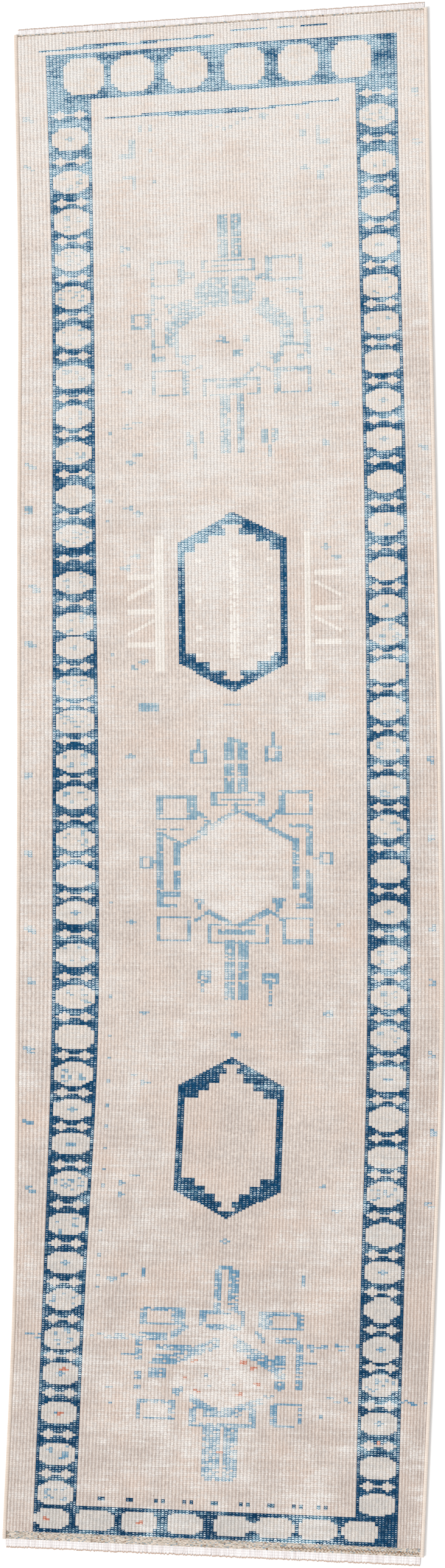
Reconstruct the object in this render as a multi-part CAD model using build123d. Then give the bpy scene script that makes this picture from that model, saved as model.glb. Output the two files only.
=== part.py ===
"""A hand-knotted runner rug.

Cotton warps and wefts hold rows of wool knots. Each colour of wool is its own set of solids,
the long sides are corded selvedges and the ends finish in woven webs and cut warp fringes.
The rug is in two halves that meet at the middle row, where it folds over on itself.

X runs across the rug, Y along it and Z up from the floor; the origin is under its middle.
A place on the rug is given in loom sizes, across and along from the middle warp and row.
The finished rug is crooked, and plan() turns loom sizes into real X and Y. Millimetres.
"""
from build123d import *
import os
from bisect import bisect_right
from collections import namedtuple

os.makedirs("parts", exist_ok=True)

# Each layer's underside and top above the floor; layers lie a hair apart, as yarns do
BACK = (0.0, 0.9)
WARP = (1.0, 2.1)
WEFT = (2.2, 2.9)
PILE = (3.0, 6.0)
MARK = (5.0, 6.0)
WEB = (0.0, 2.9)
FRINGE = (0.3, 2.3)
STITCH = (3.0, 3.9)

# Widths on the loom, from the middle warp outwards; one knot takes one pair of warps
KNOT = 6.4
FIELD = 79 / 2 * KNOT
BORDER = FIELD + 13 * KNOT
GUARD = BORDER + 8 * KNOT
SELVEDGE = 7.2
EDGE = GUARD + SELVEDGE

# Lengths on the loom, from the middle row towards each end
TOP_TIP, TOP_WEB, TOP_PILE = 1440.0, 1429.0, 1425.0
TOP_OUTER, TOP_INNER = 1384.6, 1299.0
LOW_INNER, LOW_PILE, LOW_WEB, LOW_TIP = -1363.0, -1416.0, -1432.0, -1449.0

# The fold between the halves, and the gap left there
FOLD_GAP = 0.3

# Foundation cords
WARP_WIDTH = 4.2
WEFT_WIDTH = 4.0
WEFT_PITCH = 20.0
FRINGE_WIDTH = 4.6
CORE_RADIUS = 2.3
WRAP_RADIUS = 3.5

# Border ornaments
OCTAGON = (5.5 * KNOT, 21.5, 17.0, 8.0)
TOP_OCTAGON = (40.0, 35.0, 22.0, 16.0)
LOW_OCTAGON = (35.0, 20.0, 20.0, 8.0)
BOW_TIE = (28.0, 17.0, 5.0, 5.0, 1.6)
LEFT_FIRST, RIGHT_FIRST = 1226.0, 1235.0
LEFT_GAPS = (84, 74, 70, 72, 75, 77, 75, 67, 82, 77, 87, 80, 45, 75, 66, 76, 70, 78,
             72, 69, 80, 78, 74, 70, 69, 65, 75, 75, 73, 71, 71, 68, 76, 76, 75)
RIGHT_GAPS = (87, 79, 74, 75, 71, 70, 73, 73, 77, 79, 83, 67, 50, 70, 67, 75, 70, 73,
              82, 76, 85, 74, 75, 79, 72, 71, 71, 75, 70, 71, 71, 67, 72, 80, 71)
TOP_PLACES = (-265, -173, -69, 41, 144, 248)
LOW_PLACES = (-299, -219, -138, -56, 29, 106, 184, 265)

# Six-sided rings of the field: middle across and along, half width, half side, half height
RING_BAR = 11.0
UPPER_RING = (5.0, 340.0, 102.0, 115.0, 164.0)
LOWER_RING = (0.0, -663.0, 96.0, 96.0, 149.0)

# Hooked medallions: each pair is a lower and an upper limit along, from the medallion's middle
Medallion = namedtuple(
    "Medallion", "across along top_stem top_bar top_box ring hook low_box low_bar low_stem"
)
TOP_MEDALLION = Medallion(
    4, 832, (145, 231), (100, 145), (106, 151), (29, 61), (27, 55), (-100, -53), (-105, -70), (-217, -105)
)
MIDDLE_MEDALLION = Medallion(
    5, -155, (137, 240), (108, 137), (93, 138), (46, 104), (-8, 25), (-141, -95), (-142, -108), (-247, -142)
)
LOW_MEDALLION = Medallion(
    0, -1113, (122, 205), (85, 122), (94, 125), (22, 59), (-5, 22), (-83, -46), (-89, -62), (-187, -89)
)
STEM_HALF, BAR_HALF, RING_HALF = 21.0, 48.0, 101.0
BOX_SIDES = (82.0, 147.0)
HOOK_SIDES = (146.0, 182.0)
YARN_LINE = 9.0

# Small marks, each by its place across and along
MARK_SIZE = (12.0, 9.0)
GUARD_MARKS = (
    (-369, 1265), (-371, 1174), (-374, 526), (-374, 14), (-373, -135), (-372, -277), (-372, -372),
    (-371, -503), (-369, -639), (-366, -767), (369, 1274), (370, 1180), (373, 617), (373, 528),
    (376, 43), (375, -99), (375, -266), (374, -365), (374, -501), (378, -644), (380, -782),
)
FIELD_MARKS = (
    (-9, 842), (-24, 817), (13, 801), (38, 826), (-66, 650), (74, 646), (-197, 409), (-177, 432),
    (178, 438), (200, 420), (1, 142), (-156, 145), (162, 161), (-68, 54), (76, 59), (-181, 1203),
    (187, 1199), (-143, 1235), (-141, 1163), (183, 1229), (-54, -357), (71, -360), (-165, -430),
    (179, -428), (6, -469), (-174, -736), (-195, -751), (174, -751), (2, -857), (203, -795),
)
RUST_MARKS = ((-66, -1113), (-38, -1138), (30, -1080), (67, -1119), (36, -1141), (-45, -1088))
DOT_MARKS = (-208, -157, -101, -51, -4, 51, 98, 147, 192)
DOT_ALONG = -1349.0

# The crooked outline: a place along the loom, then X of the left edge, left border's two sides,
# right border's two sides and right edge there, then how far a row rises for each unit of X
STATIONS = (
    (-1440, -414, -357, -278, 247, 326, 377, -0.045),
    (-960, -394, -337, -258, 258, 339, 398, -0.027),
    (-480, -389, -321, -234, 270, 351, 413, -0.016),
    (0, -386, -319, -233, 270, 350, 410, 0.0),
    (480, -386, -319, -238, 266, 345, 401, 0.034),
    (960, -384, -320, -242, 256, 333, 391, 0.052),
    (1440, -392, -333, -249, 245, 325, 384, 0.068),
)
ALONGS, *COLUMNS = zip(*STATIONS)
CORNERS = sorted([*ALONGS, LOW_INNER, TOP_INNER, TOP_OUTER])
LINES = (-EDGE, -GUARD, -BORDER, -FIELD, FIELD, BORDER, GUARD, EDGE)


# ---- Loom to plan ----

def interpolate(value, places, values):
    """The value at a place between listed ones, straight from one to the next."""
    i = min(max(bisect_right(places, value) - 1, 0), len(places) - 2)
    share = (value - places[i]) / (places[i + 1] - places[i])
    return values[i] + share * (values[i + 1] - values[i])


def plan(across, along):
    """Real X and Y of a place on the loom."""
    left, *borders, right, rise = [interpolate(along, ALONGS, column) for column in COLUMNS]
    line_x = (left, left + SELVEDGE, *borders, right - SELVEDGE, right)
    x = interpolate(across, LINES, line_x)
    return x, along + rise * x


def warp_line(across, start, end):
    """Points along one warp from start to end, with each corner of the outline between."""
    between = [a for a in CORNERS if min(start, end) < a < max(start, end)]
    ordered = sorted([start, *between, end], reverse=start > end)
    return [plan(across, a) for a in ordered]


def strip(left, right, low, high):
    """A face between two warps and two rows."""
    return Polygon(*warp_line(right, low, high), *warp_line(left, high, low))


def patch(points):
    """A face with its corners at places on the loom, listed anticlockwise."""
    return Polygon(*[plan(*point) for point in points])


# ---- Outlines ----

def octagon(across, along, size):
    """An eight-sided patch: half width, half height, half of its flat end, half of its flat side."""
    width, height, end, side = size
    quarter = [(width, side), (end, height)]
    return patch(
        [(across + x, along + y) for x, y in quarter]
        + [(across - x, along + y) for x, y in reversed(quarter)]
        + [(across - x, along - y) for x, y in quarter]
        + [(across + x, along - y) for x, y in reversed(quarter)]
    )


def bow_tie(across, along):
    """Two lozenges joined by a thin bar."""
    tip, middle, inner, height, waist = BOW_TIE
    upper = [(tip, 0), (middle, height), (inner, waist), (-inner, waist), (-middle, height), (-tip, 0)]
    lower = [(-x, -y) for x, y in upper[1:-1]]
    return patch([(across + x, along + y) for x, y in upper + lower])


def six_sides(half_width, half_side, half_height):
    """Corners of a six-sided figure standing on a point, anticlockwise from the right."""
    return [
        (half_width, half_side), (0, half_height), (-half_width, half_side),
        (-half_width, -half_side), (0, -half_height), (half_width, -half_side),
    ]


def stepped_inside(half_width, half_side, half_height):
    """Corners of a ring's inner edge, with three steps in each sloping side."""
    steps = [(1.0, 0.0), (0.78, 0.0), (0.78, 0.28), (0.54, 0.28), (0.54, 0.52), (0.26, 0.52), (0.0, 1.0)]
    rise = half_height - half_side
    corner = [(half_width * x, half_side + rise * y) for x, y in steps]
    top = corner + [(-x, y) for x, y in reversed(corner[:-1])]
    return top + [(-x, -y) for x, y in top]


def shifted(points, across, along):
    return [(across + x, along + y) for x, y in points]


def six_sided_ring(across, along, half_width, half_side, half_height):
    """A ring of dark knots with a stepped inner edge."""
    outer = six_sides(half_width, half_side, half_height)
    inner = stepped_inside(half_width - RING_BAR, half_side - RING_BAR, half_height - RING_BAR)
    return patch(shifted(outer, across, along)) - patch(shifted(inner, across, along))


def mirrored_strips(across, along, sides, limits):
    """The same block on the left and on the right of a middle."""
    near, far = sides
    low, high = (along + limit for limit in limits)
    return [
        strip(across + near, across + far, low, high),
        strip(across - far, across - near, low, high),
    ]


def hooked_medallion(shape):
    """Faces of a medallion's yarn: a ring, a bar and stem at each end, four boxes and two hooks."""
    middle = (shape.across, shape.along)
    side, height = shape.ring
    outer = six_sides(RING_HALF + YARN_LINE, side + YARN_LINE / 2, height + YARN_LINE / 2)
    inner = six_sides(RING_HALF, side - YARN_LINE / 2, height - YARN_LINE / 2)
    faces = [patch(shifted(outer, *middle)) - patch(shifted(inner, *middle))]
    for half, limits in (
        (STEM_HALF, shape.top_stem), (BAR_HALF, shape.top_bar),
        (BAR_HALF, shape.low_bar), (STEM_HALF, shape.low_stem),
    ):
        low, high = (shape.along + limit for limit in limits)
        faces.append(strip(shape.across - half, shape.across + half, low, high))
    for sides, limits in (
        (BOX_SIDES, shape.top_box), (BOX_SIDES, shape.low_box), (HOOK_SIDES, shape.hook),
    ):
        faces += mirrored_strips(*middle, sides, limits)
    return faces


def ivory_frame(across, along):
    """Two upright bars with a stepped side branch on each, beside the upper ring."""
    faces = mirrored_strips(across, along, (132, 147), (-128, 127))
    for limits in ((-128, -112), (-70, -54), (-8, 8), (29, 45)):
        faces += mirrored_strips(across, along, (152, 200), limits)
    return faces


def mark(across, along):
    width, height = MARK_SIZE
    return strip(across - width / 2, across + width / 2, along - height / 2, along + height / 2)


# ---- Solids and files ----

def solids(faces, layer):
    """Closed solids from faces, filling one layer."""
    low, high = layer
    blocks = []
    for face in faces:
        for part in face.faces():
            blocks.append(Pos(0, 0, low) * extrude(part, amount=high - low, dir=(0, 0, 1)))
    return blocks


def save(name, blocks):
    """Write the solids of one node to its own file."""
    node = Compound([solid for block in blocks for solid in block.solids()])
    node.label = name
    export_step(node, f"parts/{name}.step")


def without(faces, holes):
    """Faces with the outlines of others cut out of them."""
    cut = faces
    for hole in holes:
        cut = [piece for face in cut for piece in (face - hole).faces()]
    return cut


def half_plane(low, high):
    """All of the floor between two distances along the rug."""
    return Pos(0, (low + high) / 2) * Rectangle(1000, high - low)


HALVES = {
    "lower": (LOW_TIP, -FOLD_GAP / 2, half_plane(-1600, -FOLD_GAP / 2)),
    "upper": (FOLD_GAP / 2, TOP_TIP, half_plane(FOLD_GAP / 2, 1600)),
}


def on_half(faces, half):
    """The parts of faces that lie on one half of the rug."""
    plane = HALVES[half][2]
    kept = []
    for face in faces:
        kept += (face & plane).faces() if touches(face, plane) else []
    return kept


def touches(face, plane):
    box, limits = face.bounding_box(), plane.bounding_box()
    return box.max.Y > limits.min.Y and box.min.Y < limits.max.Y


# ---- Foundation ----

def warps(half, low, high):
    """One cord under every knot column."""
    count = round(2 * GUARD / KNOT)
    faces = []
    for i in range(count):
        middle = -GUARD + (i + 0.5) * KNOT
        faces.append(strip(middle - WARP_WIDTH / 2, middle + WARP_WIDTH / 2, low, high))
    save(f"warp_cords_{half}", solids(faces, WARP))


def wefts(half, low, high):
    """Cords across the warps, each standing for the wefts of about six rows."""
    count = int((high - low) / WEFT_PITCH)
    pitch = (high - low) / count
    faces = []
    for i in range(count):
        middle = low + (i + 0.5) * pitch
        faces.append(strip(-GUARD, GUARD, middle - WEFT_WIDTH / 2, middle + WEFT_WIDTH / 2))
    save(f"weft_cords_{half}", solids(faces, WEFT))


def selvedge(side, half, low, high):
    """A cord along one long side: a cotton core inside a tube of wool wrapping."""
    across = side * (GUARD + EDGE) / 2
    points = [(x, y, WRAP_RADIUS) for x, y in warp_line(across, low, high)]
    path = Polyline(*points)
    start = Plane(origin=path @ 0, z_dir=path % 0)
    rim = start * RegularPolygon(WRAP_RADIUS, 8, major_radius=False, rotation=22.5)
    core = start * RegularPolygon(CORE_RADIUS, 8, major_radius=False, rotation=22.5)
    name = f"{'left' if side < 0 else 'right'}_selvedge"
    save(f"{name}_core_{half}", [sweep(core, path, transition=Transition.RIGHT)])
    save(f"{name}_wrapping_{half}", [sweep(rim - core, path, transition=Transition.RIGHT)])


def fringe(name, low, high):
    """Cut warp ends beyond an end web, one tuft for each pair of warps."""
    count = round(2 * GUARD / KNOT)
    faces = []
    for i in range(count):
        middle = -GUARD + (i + 0.5) * KNOT
        faces.append(strip(middle - FRINGE_WIDTH / 2, middle + FRINGE_WIDTH / 2, low, high))
    save(name, solids(faces, FRINGE))


def end_stitching(low, high):
    """A zigzag of tan wool sewn through the right part of the lower end web."""
    start, pitch, thread = 110.0, 14.0, 2.4
    count = int((GUARD - start) / pitch)
    faces = []
    for i in range(count):
        left = start + i * pitch
        near, far = (low + thread, high - thread) if i % 2 else (high - thread, low + thread)
        faces.append(patch([
            (left, near - thread), (left + pitch, far - thread), (left + pitch, far), (left, near),
        ]))
    save("low_end_stitching", solids(faces, STITCH))


# ---- Pile ----

def pile(faces, marks=()):
    """Pile solids, with a pocket in their tops for each mark."""
    blocks = solids(faces, PILE)
    pockets = solids(marks, MARK)
    if pockets:
        blocks = [piece for block in blocks for piece in (block - pockets).solids()]
    return blocks


def save_marks(name, faces):
    save(name, solids(faces, MARK))


def chain(side, first, gaps):
    """Octagons and bow ties up one long border."""
    across = side * (FIELD + BORDER) / 2
    places = [first]
    for gap in gaps:
        places.append(places[-1] - gap)
    octagons = [octagon(across, along, OCTAGON) for along in places]
    ties = [
        bow_tie(across, (above + below) / 2)
        for above, below in zip(places, places[1:])
        if above - below > 2 * (OCTAGON[1] + BOW_TIE[3])
    ]
    return octagons, ties


def side_border(side, half, octagons, ties):
    """Dark ground of one long border with its octagons let into it; gives back its bow ties."""
    low, high, _ = HALVES[half]
    inner, outer = sorted((side * FIELD, side * BORDER))
    name = "left" if side < 0 else "right"
    shapes, bars = on_half(octagons, half), on_half(ties, half)
    ground = without([strip(inner, outer, max(low, LOW_INNER), min(high, TOP_INNER))], shapes + bars)
    save(f"{name}_border_{half}", pile(ground))
    save(f"{name}_border_octagons_{half}", pile(shapes))
    return bars


def end_border(name, low, high, places, size):
    """Dark ground of a border across one end, with its octagons."""
    octagons = [octagon(across, (low + high) / 2, size) for across in places]
    save(f"{name}_border", pile(without([strip(-BORDER, BORDER, low, high)], octagons)))
    save(f"{name}_border_octagons", pile(octagons))


def dashes(left, right, along, rise):
    """A broken line of dark knots across the rug."""
    dash, gap, line = 24.0, 8.0, 5.0
    faces = []
    for i in range(int((right - left) / (dash + gap))):
        start = left + i * (dash + gap)
        middle = along + rise * (start - left)
        faces.append(strip(start, start + dash, middle, middle + line))
    return faces


def side_guards(half, low, high):
    """Plain camel strips between the borders and the selvedges, with their small marks."""
    marks = on_half([mark(*place) for place in GUARD_MARKS], half)
    save_marks(f"guard_marks_{half}", marks)
    for side, inner, outer in (("left", -GUARD, -BORDER), ("right", BORDER, GUARD)):
        own = [face for face in marks if (face.center().X < 0) == (side == "left")]
        save(f"{side}_guard_{half}", pile([strip(inner, outer, low, high)], own))


def top_guard():
    """Camel strip across the top end, with its dark pinstripe."""
    stripe = dashes(-330, 210, 1395, 0.03)
    save_marks("top_pinstripe", stripe)
    save("top_guard", pile([strip(-BORDER, BORDER, TOP_OUTER, TOP_PILE)], stripe))


def motifs(half):
    """Faces of the yarns let through the field on one half, by name."""
    if half == "upper":
        found = {
            "top_medallion": hooked_medallion(TOP_MEDALLION),
            "upper_ring": [six_sided_ring(*UPPER_RING)],
            "ivory_frame": ivory_frame(*UPPER_RING[:2]),
        }
    else:
        found = {
            "low_medallion": hooked_medallion(LOW_MEDALLION),
            "lower_ring": [six_sided_ring(*LOWER_RING)],
        }
    found[f"middle_medallion_{half}"] = on_half(hooked_medallion(MIDDLE_MEDALLION), half)
    return found


def field_marks(half):
    """Small marks let into the top of the field on one half, by name."""
    blue = on_half([mark(*place) for place in FIELD_MARKS], half)
    if half == "upper":
        return {"field_marks_upper": blue, "field_pinstripe": dashes(-227, 225, 1259, 0.015)}
    return {
        "field_marks_lower": blue,
        "rust_marks": [mark(*place) for place in RUST_MARKS],
        "field_dots": [mark(across, DOT_ALONG) for across in DOT_MARKS],
    }


def field(half, low, high):
    """Camel field of one half, with its motifs let through it and its marks let into it."""
    ground = [strip(-FIELD, FIELD, max(low, LOW_INNER), min(high, TOP_INNER))]
    for name, faces in motifs(half).items():
        shapes = (Sketch() + faces).faces()
        ground = without(ground, shapes)
        save(name, pile(shapes))
    marks = field_marks(half)
    for name, faces in marks.items():
        save_marks(name, faces)
    save(f"field_{half}", pile(ground, [face for faces in marks.values() for face in faces]))


# ---- The whole rug ----

LEFT_CHAIN = chain(-1, LEFT_FIRST, LEFT_GAPS)
RIGHT_CHAIN = chain(1, RIGHT_FIRST, RIGHT_GAPS)

for half, (low, high, _) in HALVES.items():
    low, high = max(low, LOW_PILE), min(high, TOP_PILE)
    save(f"knotted_back_{half}", solids([strip(-GUARD, GUARD, low, high)], BACK))
    warps(half, low, high)
    wefts(half, low, high)
    selvedge(-1, half, low, high)
    selvedge(1, half, low, high)
    side_guards(half, low, high)
    ties = side_border(-1, half, *LEFT_CHAIN) + side_border(1, half, *RIGHT_CHAIN)
    save(f"border_bow_ties_{half}", pile(ties))
    field(half, low, high)

top_guard()
end_border("top", TOP_INNER, TOP_OUTER, TOP_PLACES, TOP_OCTAGON)
end_border("low", LOW_PILE, LOW_INNER, LOW_PLACES, LOW_OCTAGON)
save("top_end_web", solids([strip(-GUARD, GUARD, TOP_PILE, TOP_WEB)], WEB))
save("low_end_web", solids([strip(-GUARD, GUARD, LOW_WEB, LOW_PILE)], WEB))
end_stitching(LOW_WEB, LOW_PILE)
fringe("top_fringe", TOP_WEB, TOP_TIP)
fringe("low_fringe", LOW_TIP, LOW_WEB)
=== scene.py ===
import math

import bpy
import numpy as np
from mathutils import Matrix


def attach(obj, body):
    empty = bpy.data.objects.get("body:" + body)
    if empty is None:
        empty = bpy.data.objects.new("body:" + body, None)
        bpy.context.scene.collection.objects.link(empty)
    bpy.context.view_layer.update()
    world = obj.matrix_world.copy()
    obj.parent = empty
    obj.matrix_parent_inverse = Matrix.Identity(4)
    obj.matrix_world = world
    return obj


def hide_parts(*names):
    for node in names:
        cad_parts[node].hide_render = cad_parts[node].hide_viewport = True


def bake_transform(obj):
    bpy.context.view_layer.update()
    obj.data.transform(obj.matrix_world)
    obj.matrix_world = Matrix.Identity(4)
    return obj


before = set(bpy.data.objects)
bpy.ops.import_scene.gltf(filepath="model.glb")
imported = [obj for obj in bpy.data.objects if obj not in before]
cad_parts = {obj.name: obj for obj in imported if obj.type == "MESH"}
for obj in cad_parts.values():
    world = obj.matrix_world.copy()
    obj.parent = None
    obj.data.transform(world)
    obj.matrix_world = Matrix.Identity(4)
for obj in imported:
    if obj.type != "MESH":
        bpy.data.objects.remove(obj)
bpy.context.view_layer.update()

# ---- Sizes, in millimetres ----

MM = 0.001

# Heights of the layers, from the floor up
BACK = (0.0, 0.95)
WARP = (1.0, 2.1)
WEFT = (2.2, 2.9)
PILE = (3.0, 6.0)
WEB = (0.0, 2.9)
FRINGE = (0.3, 2.3)
STITCH_HEIGHT = 3.4
GROOVE = 4.9
RIDGE = 5.85

# Distances from the middle warp
KNOT = 6.4
COLUMNS = 121
FIELD = 79 / 2 * KNOT
BORDER = FIELD + 13 * KNOT
GUARD = BORDER + 8 * KNOT
SELVEDGE = 7.2
EDGE = GUARD + SELVEDGE

# Distances from the middle row, up one end and down the other
TOP_TIP, TOP_WEB, TOP_PILE, TOP_OUTER, TOP_INNER = 1440.0, 1429.0, 1425.0, 1384.6, 1299.0
LOW_INNER, LOW_PILE, LOW_WEB, LOW_TIP = -1363.0, -1416.0, -1432.0, -1449.0

# How far apart the rows are, at places along the rug
ROW_PLACES = (-1440.0, -700.0, -200.0, 1440.0)
ROW_PITCHES = (3.8, 3.6, 3.3, 3.25)

CORE_RADIUS = 2.3
WRAP_RADIUS = 3.5
WRAP_PITCH = 3.2
SELVEDGE_ACROSS = (GUARD + EDGE) / 2
FOLD_REACH = 12.0

# Half a knot and half a row with a touch over, so that a drawn patch holds at least one knot
LEAST_HALF_WIDTH = 3.21
LEAST_HALF_HEIGHT = 1.9

# The crooked outline: a place along the loom, then X of the left edge, left border's two sides,
# right border's two sides and right edge there, then how far a row rises for each unit of X
STATIONS = (
    (-1440, -414, -357, -278, 247, 326, 377, -0.045),
    (-960, -394, -337, -258, 258, 339, 398, -0.027),
    (-480, -389, -321, -234, 270, 351, 413, -0.016),
    (0, -386, -319, -233, 270, 350, 410, 0.0),
    (480, -386, -319, -238, 266, 345, 401, 0.034),
    (960, -384, -320, -242, 256, 333, 391, 0.052),
    (1440, -392, -333, -249, 245, 325, 384, 0.068),
)
ALONGS, *OUTLINE = np.array(STATIONS, float).T
LINES = np.array((-EDGE, -GUARD, -BORDER, -FIELD, FIELD, BORDER, GUARD, EDGE))

rng = np.random.default_rng(5)


# ---- Loom to plan ----

def eased(along, values):
    """A value at each place along the rug, on a smooth line through the listed ones."""
    at = (along - ALONGS[0]) / (ALONGS[1] - ALONGS[0])
    i = np.clip(np.floor(at).astype(int), 0, len(values) - 2)
    f = at - i
    line = np.concatenate([[2 * values[0] - values[1]], values, [2 * values[-1] - values[-2]]])
    a, b, c, d = (line[i + k] for k in range(4))
    return b + 0.5 * f * (c - a + f * (2 * a - 5 * b + 4 * c - d + f * (3 * (b - c) + d - a)))


def plan(across, along):
    """Real X and Y of places on the loom."""
    across, along = np.broadcast_arrays(np.asarray(across, float), np.asarray(along, float))
    left, *borders, right, rise = (eased(along, values) for values in OUTLINE)
    lines = np.stack([left, left + SELVEDGE, *borders, right - SELVEDGE, right])
    i = np.clip(np.searchsorted(LINES, across, side="right") - 1, 0, len(LINES) - 2)
    start = np.take_along_axis(lines, i[None], 0)[0]
    end = np.take_along_axis(lines, i[None] + 1, 0)[0]
    x = start + (end - start) * (across - LINES[i]) / (LINES[i + 1] - LINES[i])
    return x, along + rise * x


def row_lines():
    """Places along the loom where one row of knots ends and the next starts."""
    lines = [LOW_PILE]
    while lines[-1] < TOP_PILE:
        lines.append(lines[-1] + np.interp(lines[-1], ROW_PLACES, ROW_PITCHES))
    lines = np.array(lines)
    return LOW_PILE + (lines - LOW_PILE) * (TOP_PILE - LOW_PILE) / (lines[-1] - LOW_PILE)


ROW_LINES = row_lines()
COLUMN_LINES = (np.arange(COLUMNS + 1) - COLUMNS / 2) * KNOT
ROWS = len(ROW_LINES) - 1
COLUMN_NUMBERS = np.arange(COLUMNS)[None, :]
ALONG = ((ROW_LINES[1:] + ROW_LINES[:-1]) / 2)[:, None]
ACROSS = ((COLUMN_LINES[1:] + COLUMN_LINES[:-1]) / 2)[None, :]
SHAPE = (ROWS, COLUMNS)


# ---- Where each knot belongs ----

owners = []
owner = np.zeros(SHAPE, int)


def weave(name, where):
    """Give these knots to a piece of pile."""
    if name not in owners:
        owners.append(name)
    owner[np.broadcast_to(where, SHAPE)] = owners.index(name)


def block(left, right, low, high):
    """Knots between two warps and two rows, at least one knot each way."""
    half_width = max((right - left) / 2, LEAST_HALF_WIDTH)
    half_height = max((high - low) / 2, LEAST_HALF_HEIGHT)
    beside = np.abs(ACROSS - (left + right) / 2) < half_width
    return beside & (np.abs(ALONG - (low + high) / 2) < half_height)


def box(across, along, half_width, half_height):
    """Knots between two warps and two rows, about a middle."""
    return block(across - half_width, across + half_width, along - half_height, along + half_height)


# How far past its ends a sloping band goes
BAND_SLACK = 1


def band(left, left_along, right, right_along, thick):
    """Knots in a sloping band, by its two ends and its height."""
    rise = (right_along - left_along) / (right - left)
    middle = left_along + rise * (ACROSS - left)
    beside = (ACROSS > left - BAND_SLACK) & (ACROSS < right + BAND_SLACK)
    return beside & (np.abs(ALONG - middle) < thick / 2)


def patch(*points):
    """Knots inside an outline."""
    inside = np.zeros(SHAPE, bool)
    for (x0, y0), (x1, y1) in zip(points, (*points[1:], points[0])):
        if y0 == y1:
            continue
        crossing = (y0 > ALONG) != (y1 > ALONG)
        inside ^= crossing & (ACROSS < x0 + (x1 - x0) * (ALONG - y0) / (y1 - y0))
    return inside


def octagon(across, along, size):
    """Knots in an eight-sided patch: half width, half height, half flat end, half flat side."""
    width, height, end, side = size
    x, y = np.abs(ACROSS - across), np.abs(ALONG - along)
    cut = np.maximum(x - end, 0) / (width - end) + np.maximum(y - side, 0) / (height - side)
    return (x < width) & (y < height) & (cut < 1)


# A bow tie: half its width and height, how far out its lozenges are highest, how steeply they fall
# from there, and how far out its thin middle goes
TIE_HALF_WIDTH, TIE_HALF_HEIGHT, TIE_LOBE, TIE_SLOPE, TIE_WAIST = 33, 8.6, 17.6, 0.5, 10


def bow_tie(across, along):
    """Knots of two small lozenges joined at their points."""
    x, y = np.abs(ACROSS - across), np.abs(ALONG - along)
    lozenges = (y < TIE_HALF_HEIGHT - np.abs(x - TIE_LOBE) * TIE_SLOPE) & (x < TIE_HALF_WIDTH)
    return lozenges | (x < TIE_WAIST) & (y < LEAST_HALF_HEIGHT)


def nearest_row(along):
    """The middle of the row of knots nearest to a place."""
    return ALONG[np.argmin(np.abs(ALONG[:, 0] - along)), 0]


def outline(left, right, low, high, sides=(7, 7), ends=(4, 4)):
    """Knots of a box's outline: the thickness of its two sides, then of its bottom and top."""
    return (
        block(left, left + sides[0], low, high) | block(right - sides[1], right, low, high)
        | block(left, right, low, low + ends[0]) | block(left, right, high - ends[1], high)
    )


# ---- The hooked medallions, from the middle of each ----

def middle_medallion():
    """Strokes of the middle medallion."""
    strokes = [
        block(-23, -4, 140, 232), block(4, 25, 140, 232), block(-15, 14, 232, 242),
        outline(-44.5, 54.6, 113.5, 141.5, (10, 10), (4, 5)), block(-28, 34, 123, 126),
        block(-4, 7, 107, 122), band(-43, 75, 4, 107, 12), band(4, 107, 59, 82, 12),
        band(-75, 106, -43, 76, 10), band(59, 82, 94, 122, 10),
        outline(-150, -72.5, 88.5, 134.7, (13, 17), (3, 7)), outline(80, 145, 99, 143, (16, 7), (3, 5)),
        block(-148, -96, 67, 71), block(-148, -133, -75, 64), band(-136, 60, -103, 42, 9),
        block(-120, -103, 3, 49), block(-120, -103, -43, -9),
        patch((-72, 66), (-56, 80), (-50, 62), (-64, 56)), band(-103, 39, -67, 58, 12),
        block(-134, -103, -58, -48), block(-146, -108, -77, -69), block(98, 145, 74, 82),
        block(133, 148, 22, 81), block(133, 148, -74, -5), block(105, 122, 5, 56),
        block(105, 122, -40, 1), band(59, 76, 105, 53, 12), block(122, 144, -58, -48),
        block(115, 146, -77, -67), patch((66, -56), (94, -58), (80, -87)),
        patch((-79, -61), (-57, -60), (-68, -84)), outline(-183, -158, -5, 18, (6, 6), (3, 3)),
        band(-158, 14, -140, 0, 6), outline(156, 182, 6.5, 29, (6, 6), (3, 3)), block(147, 156, 14, 18),
        band(-52, -84, -9, -108, 11), band(8, -108, 66, -81, 11), band(-80, -104, -52, -84, 6),
        band(66, -81, 90, -102, 6), outline(-148, -82, -140, -93, (6, 9), (4, 4)),
        outline(88, 147, -145, -94, (9, 6), (10, 4)), outline(-55, 64, -144, -108, (10, 10), (4, 4)),
        block(-31, 39, -128, -118), block(-19.5, 0.5, -248, -139), block(3, 27, -248, -139),
        outline(-84, -55, 193, 218, (7, 7), (4, 4)), block(-73, -67, 218, 240),
        outline(56, 85, 198, 227, (7, 7), (4, 4)), block(67, 73, 227, 252),
        outline(-74, -46, -217, -193, (7, 7), (4, 4)), block(-63, -57, -236, -217),
        outline(49, 80, -217, -198, (7, 7), (4, 4)), block(61, 67, -261, -217),
    ]
    gaps = [
        block(-25, 24, 195, 198), block(-25, 24, 166, 169), block(-22, 30, -177, -173),
        block(-22, 30, -216, -212),
    ]
    return strokes, gaps


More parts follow.
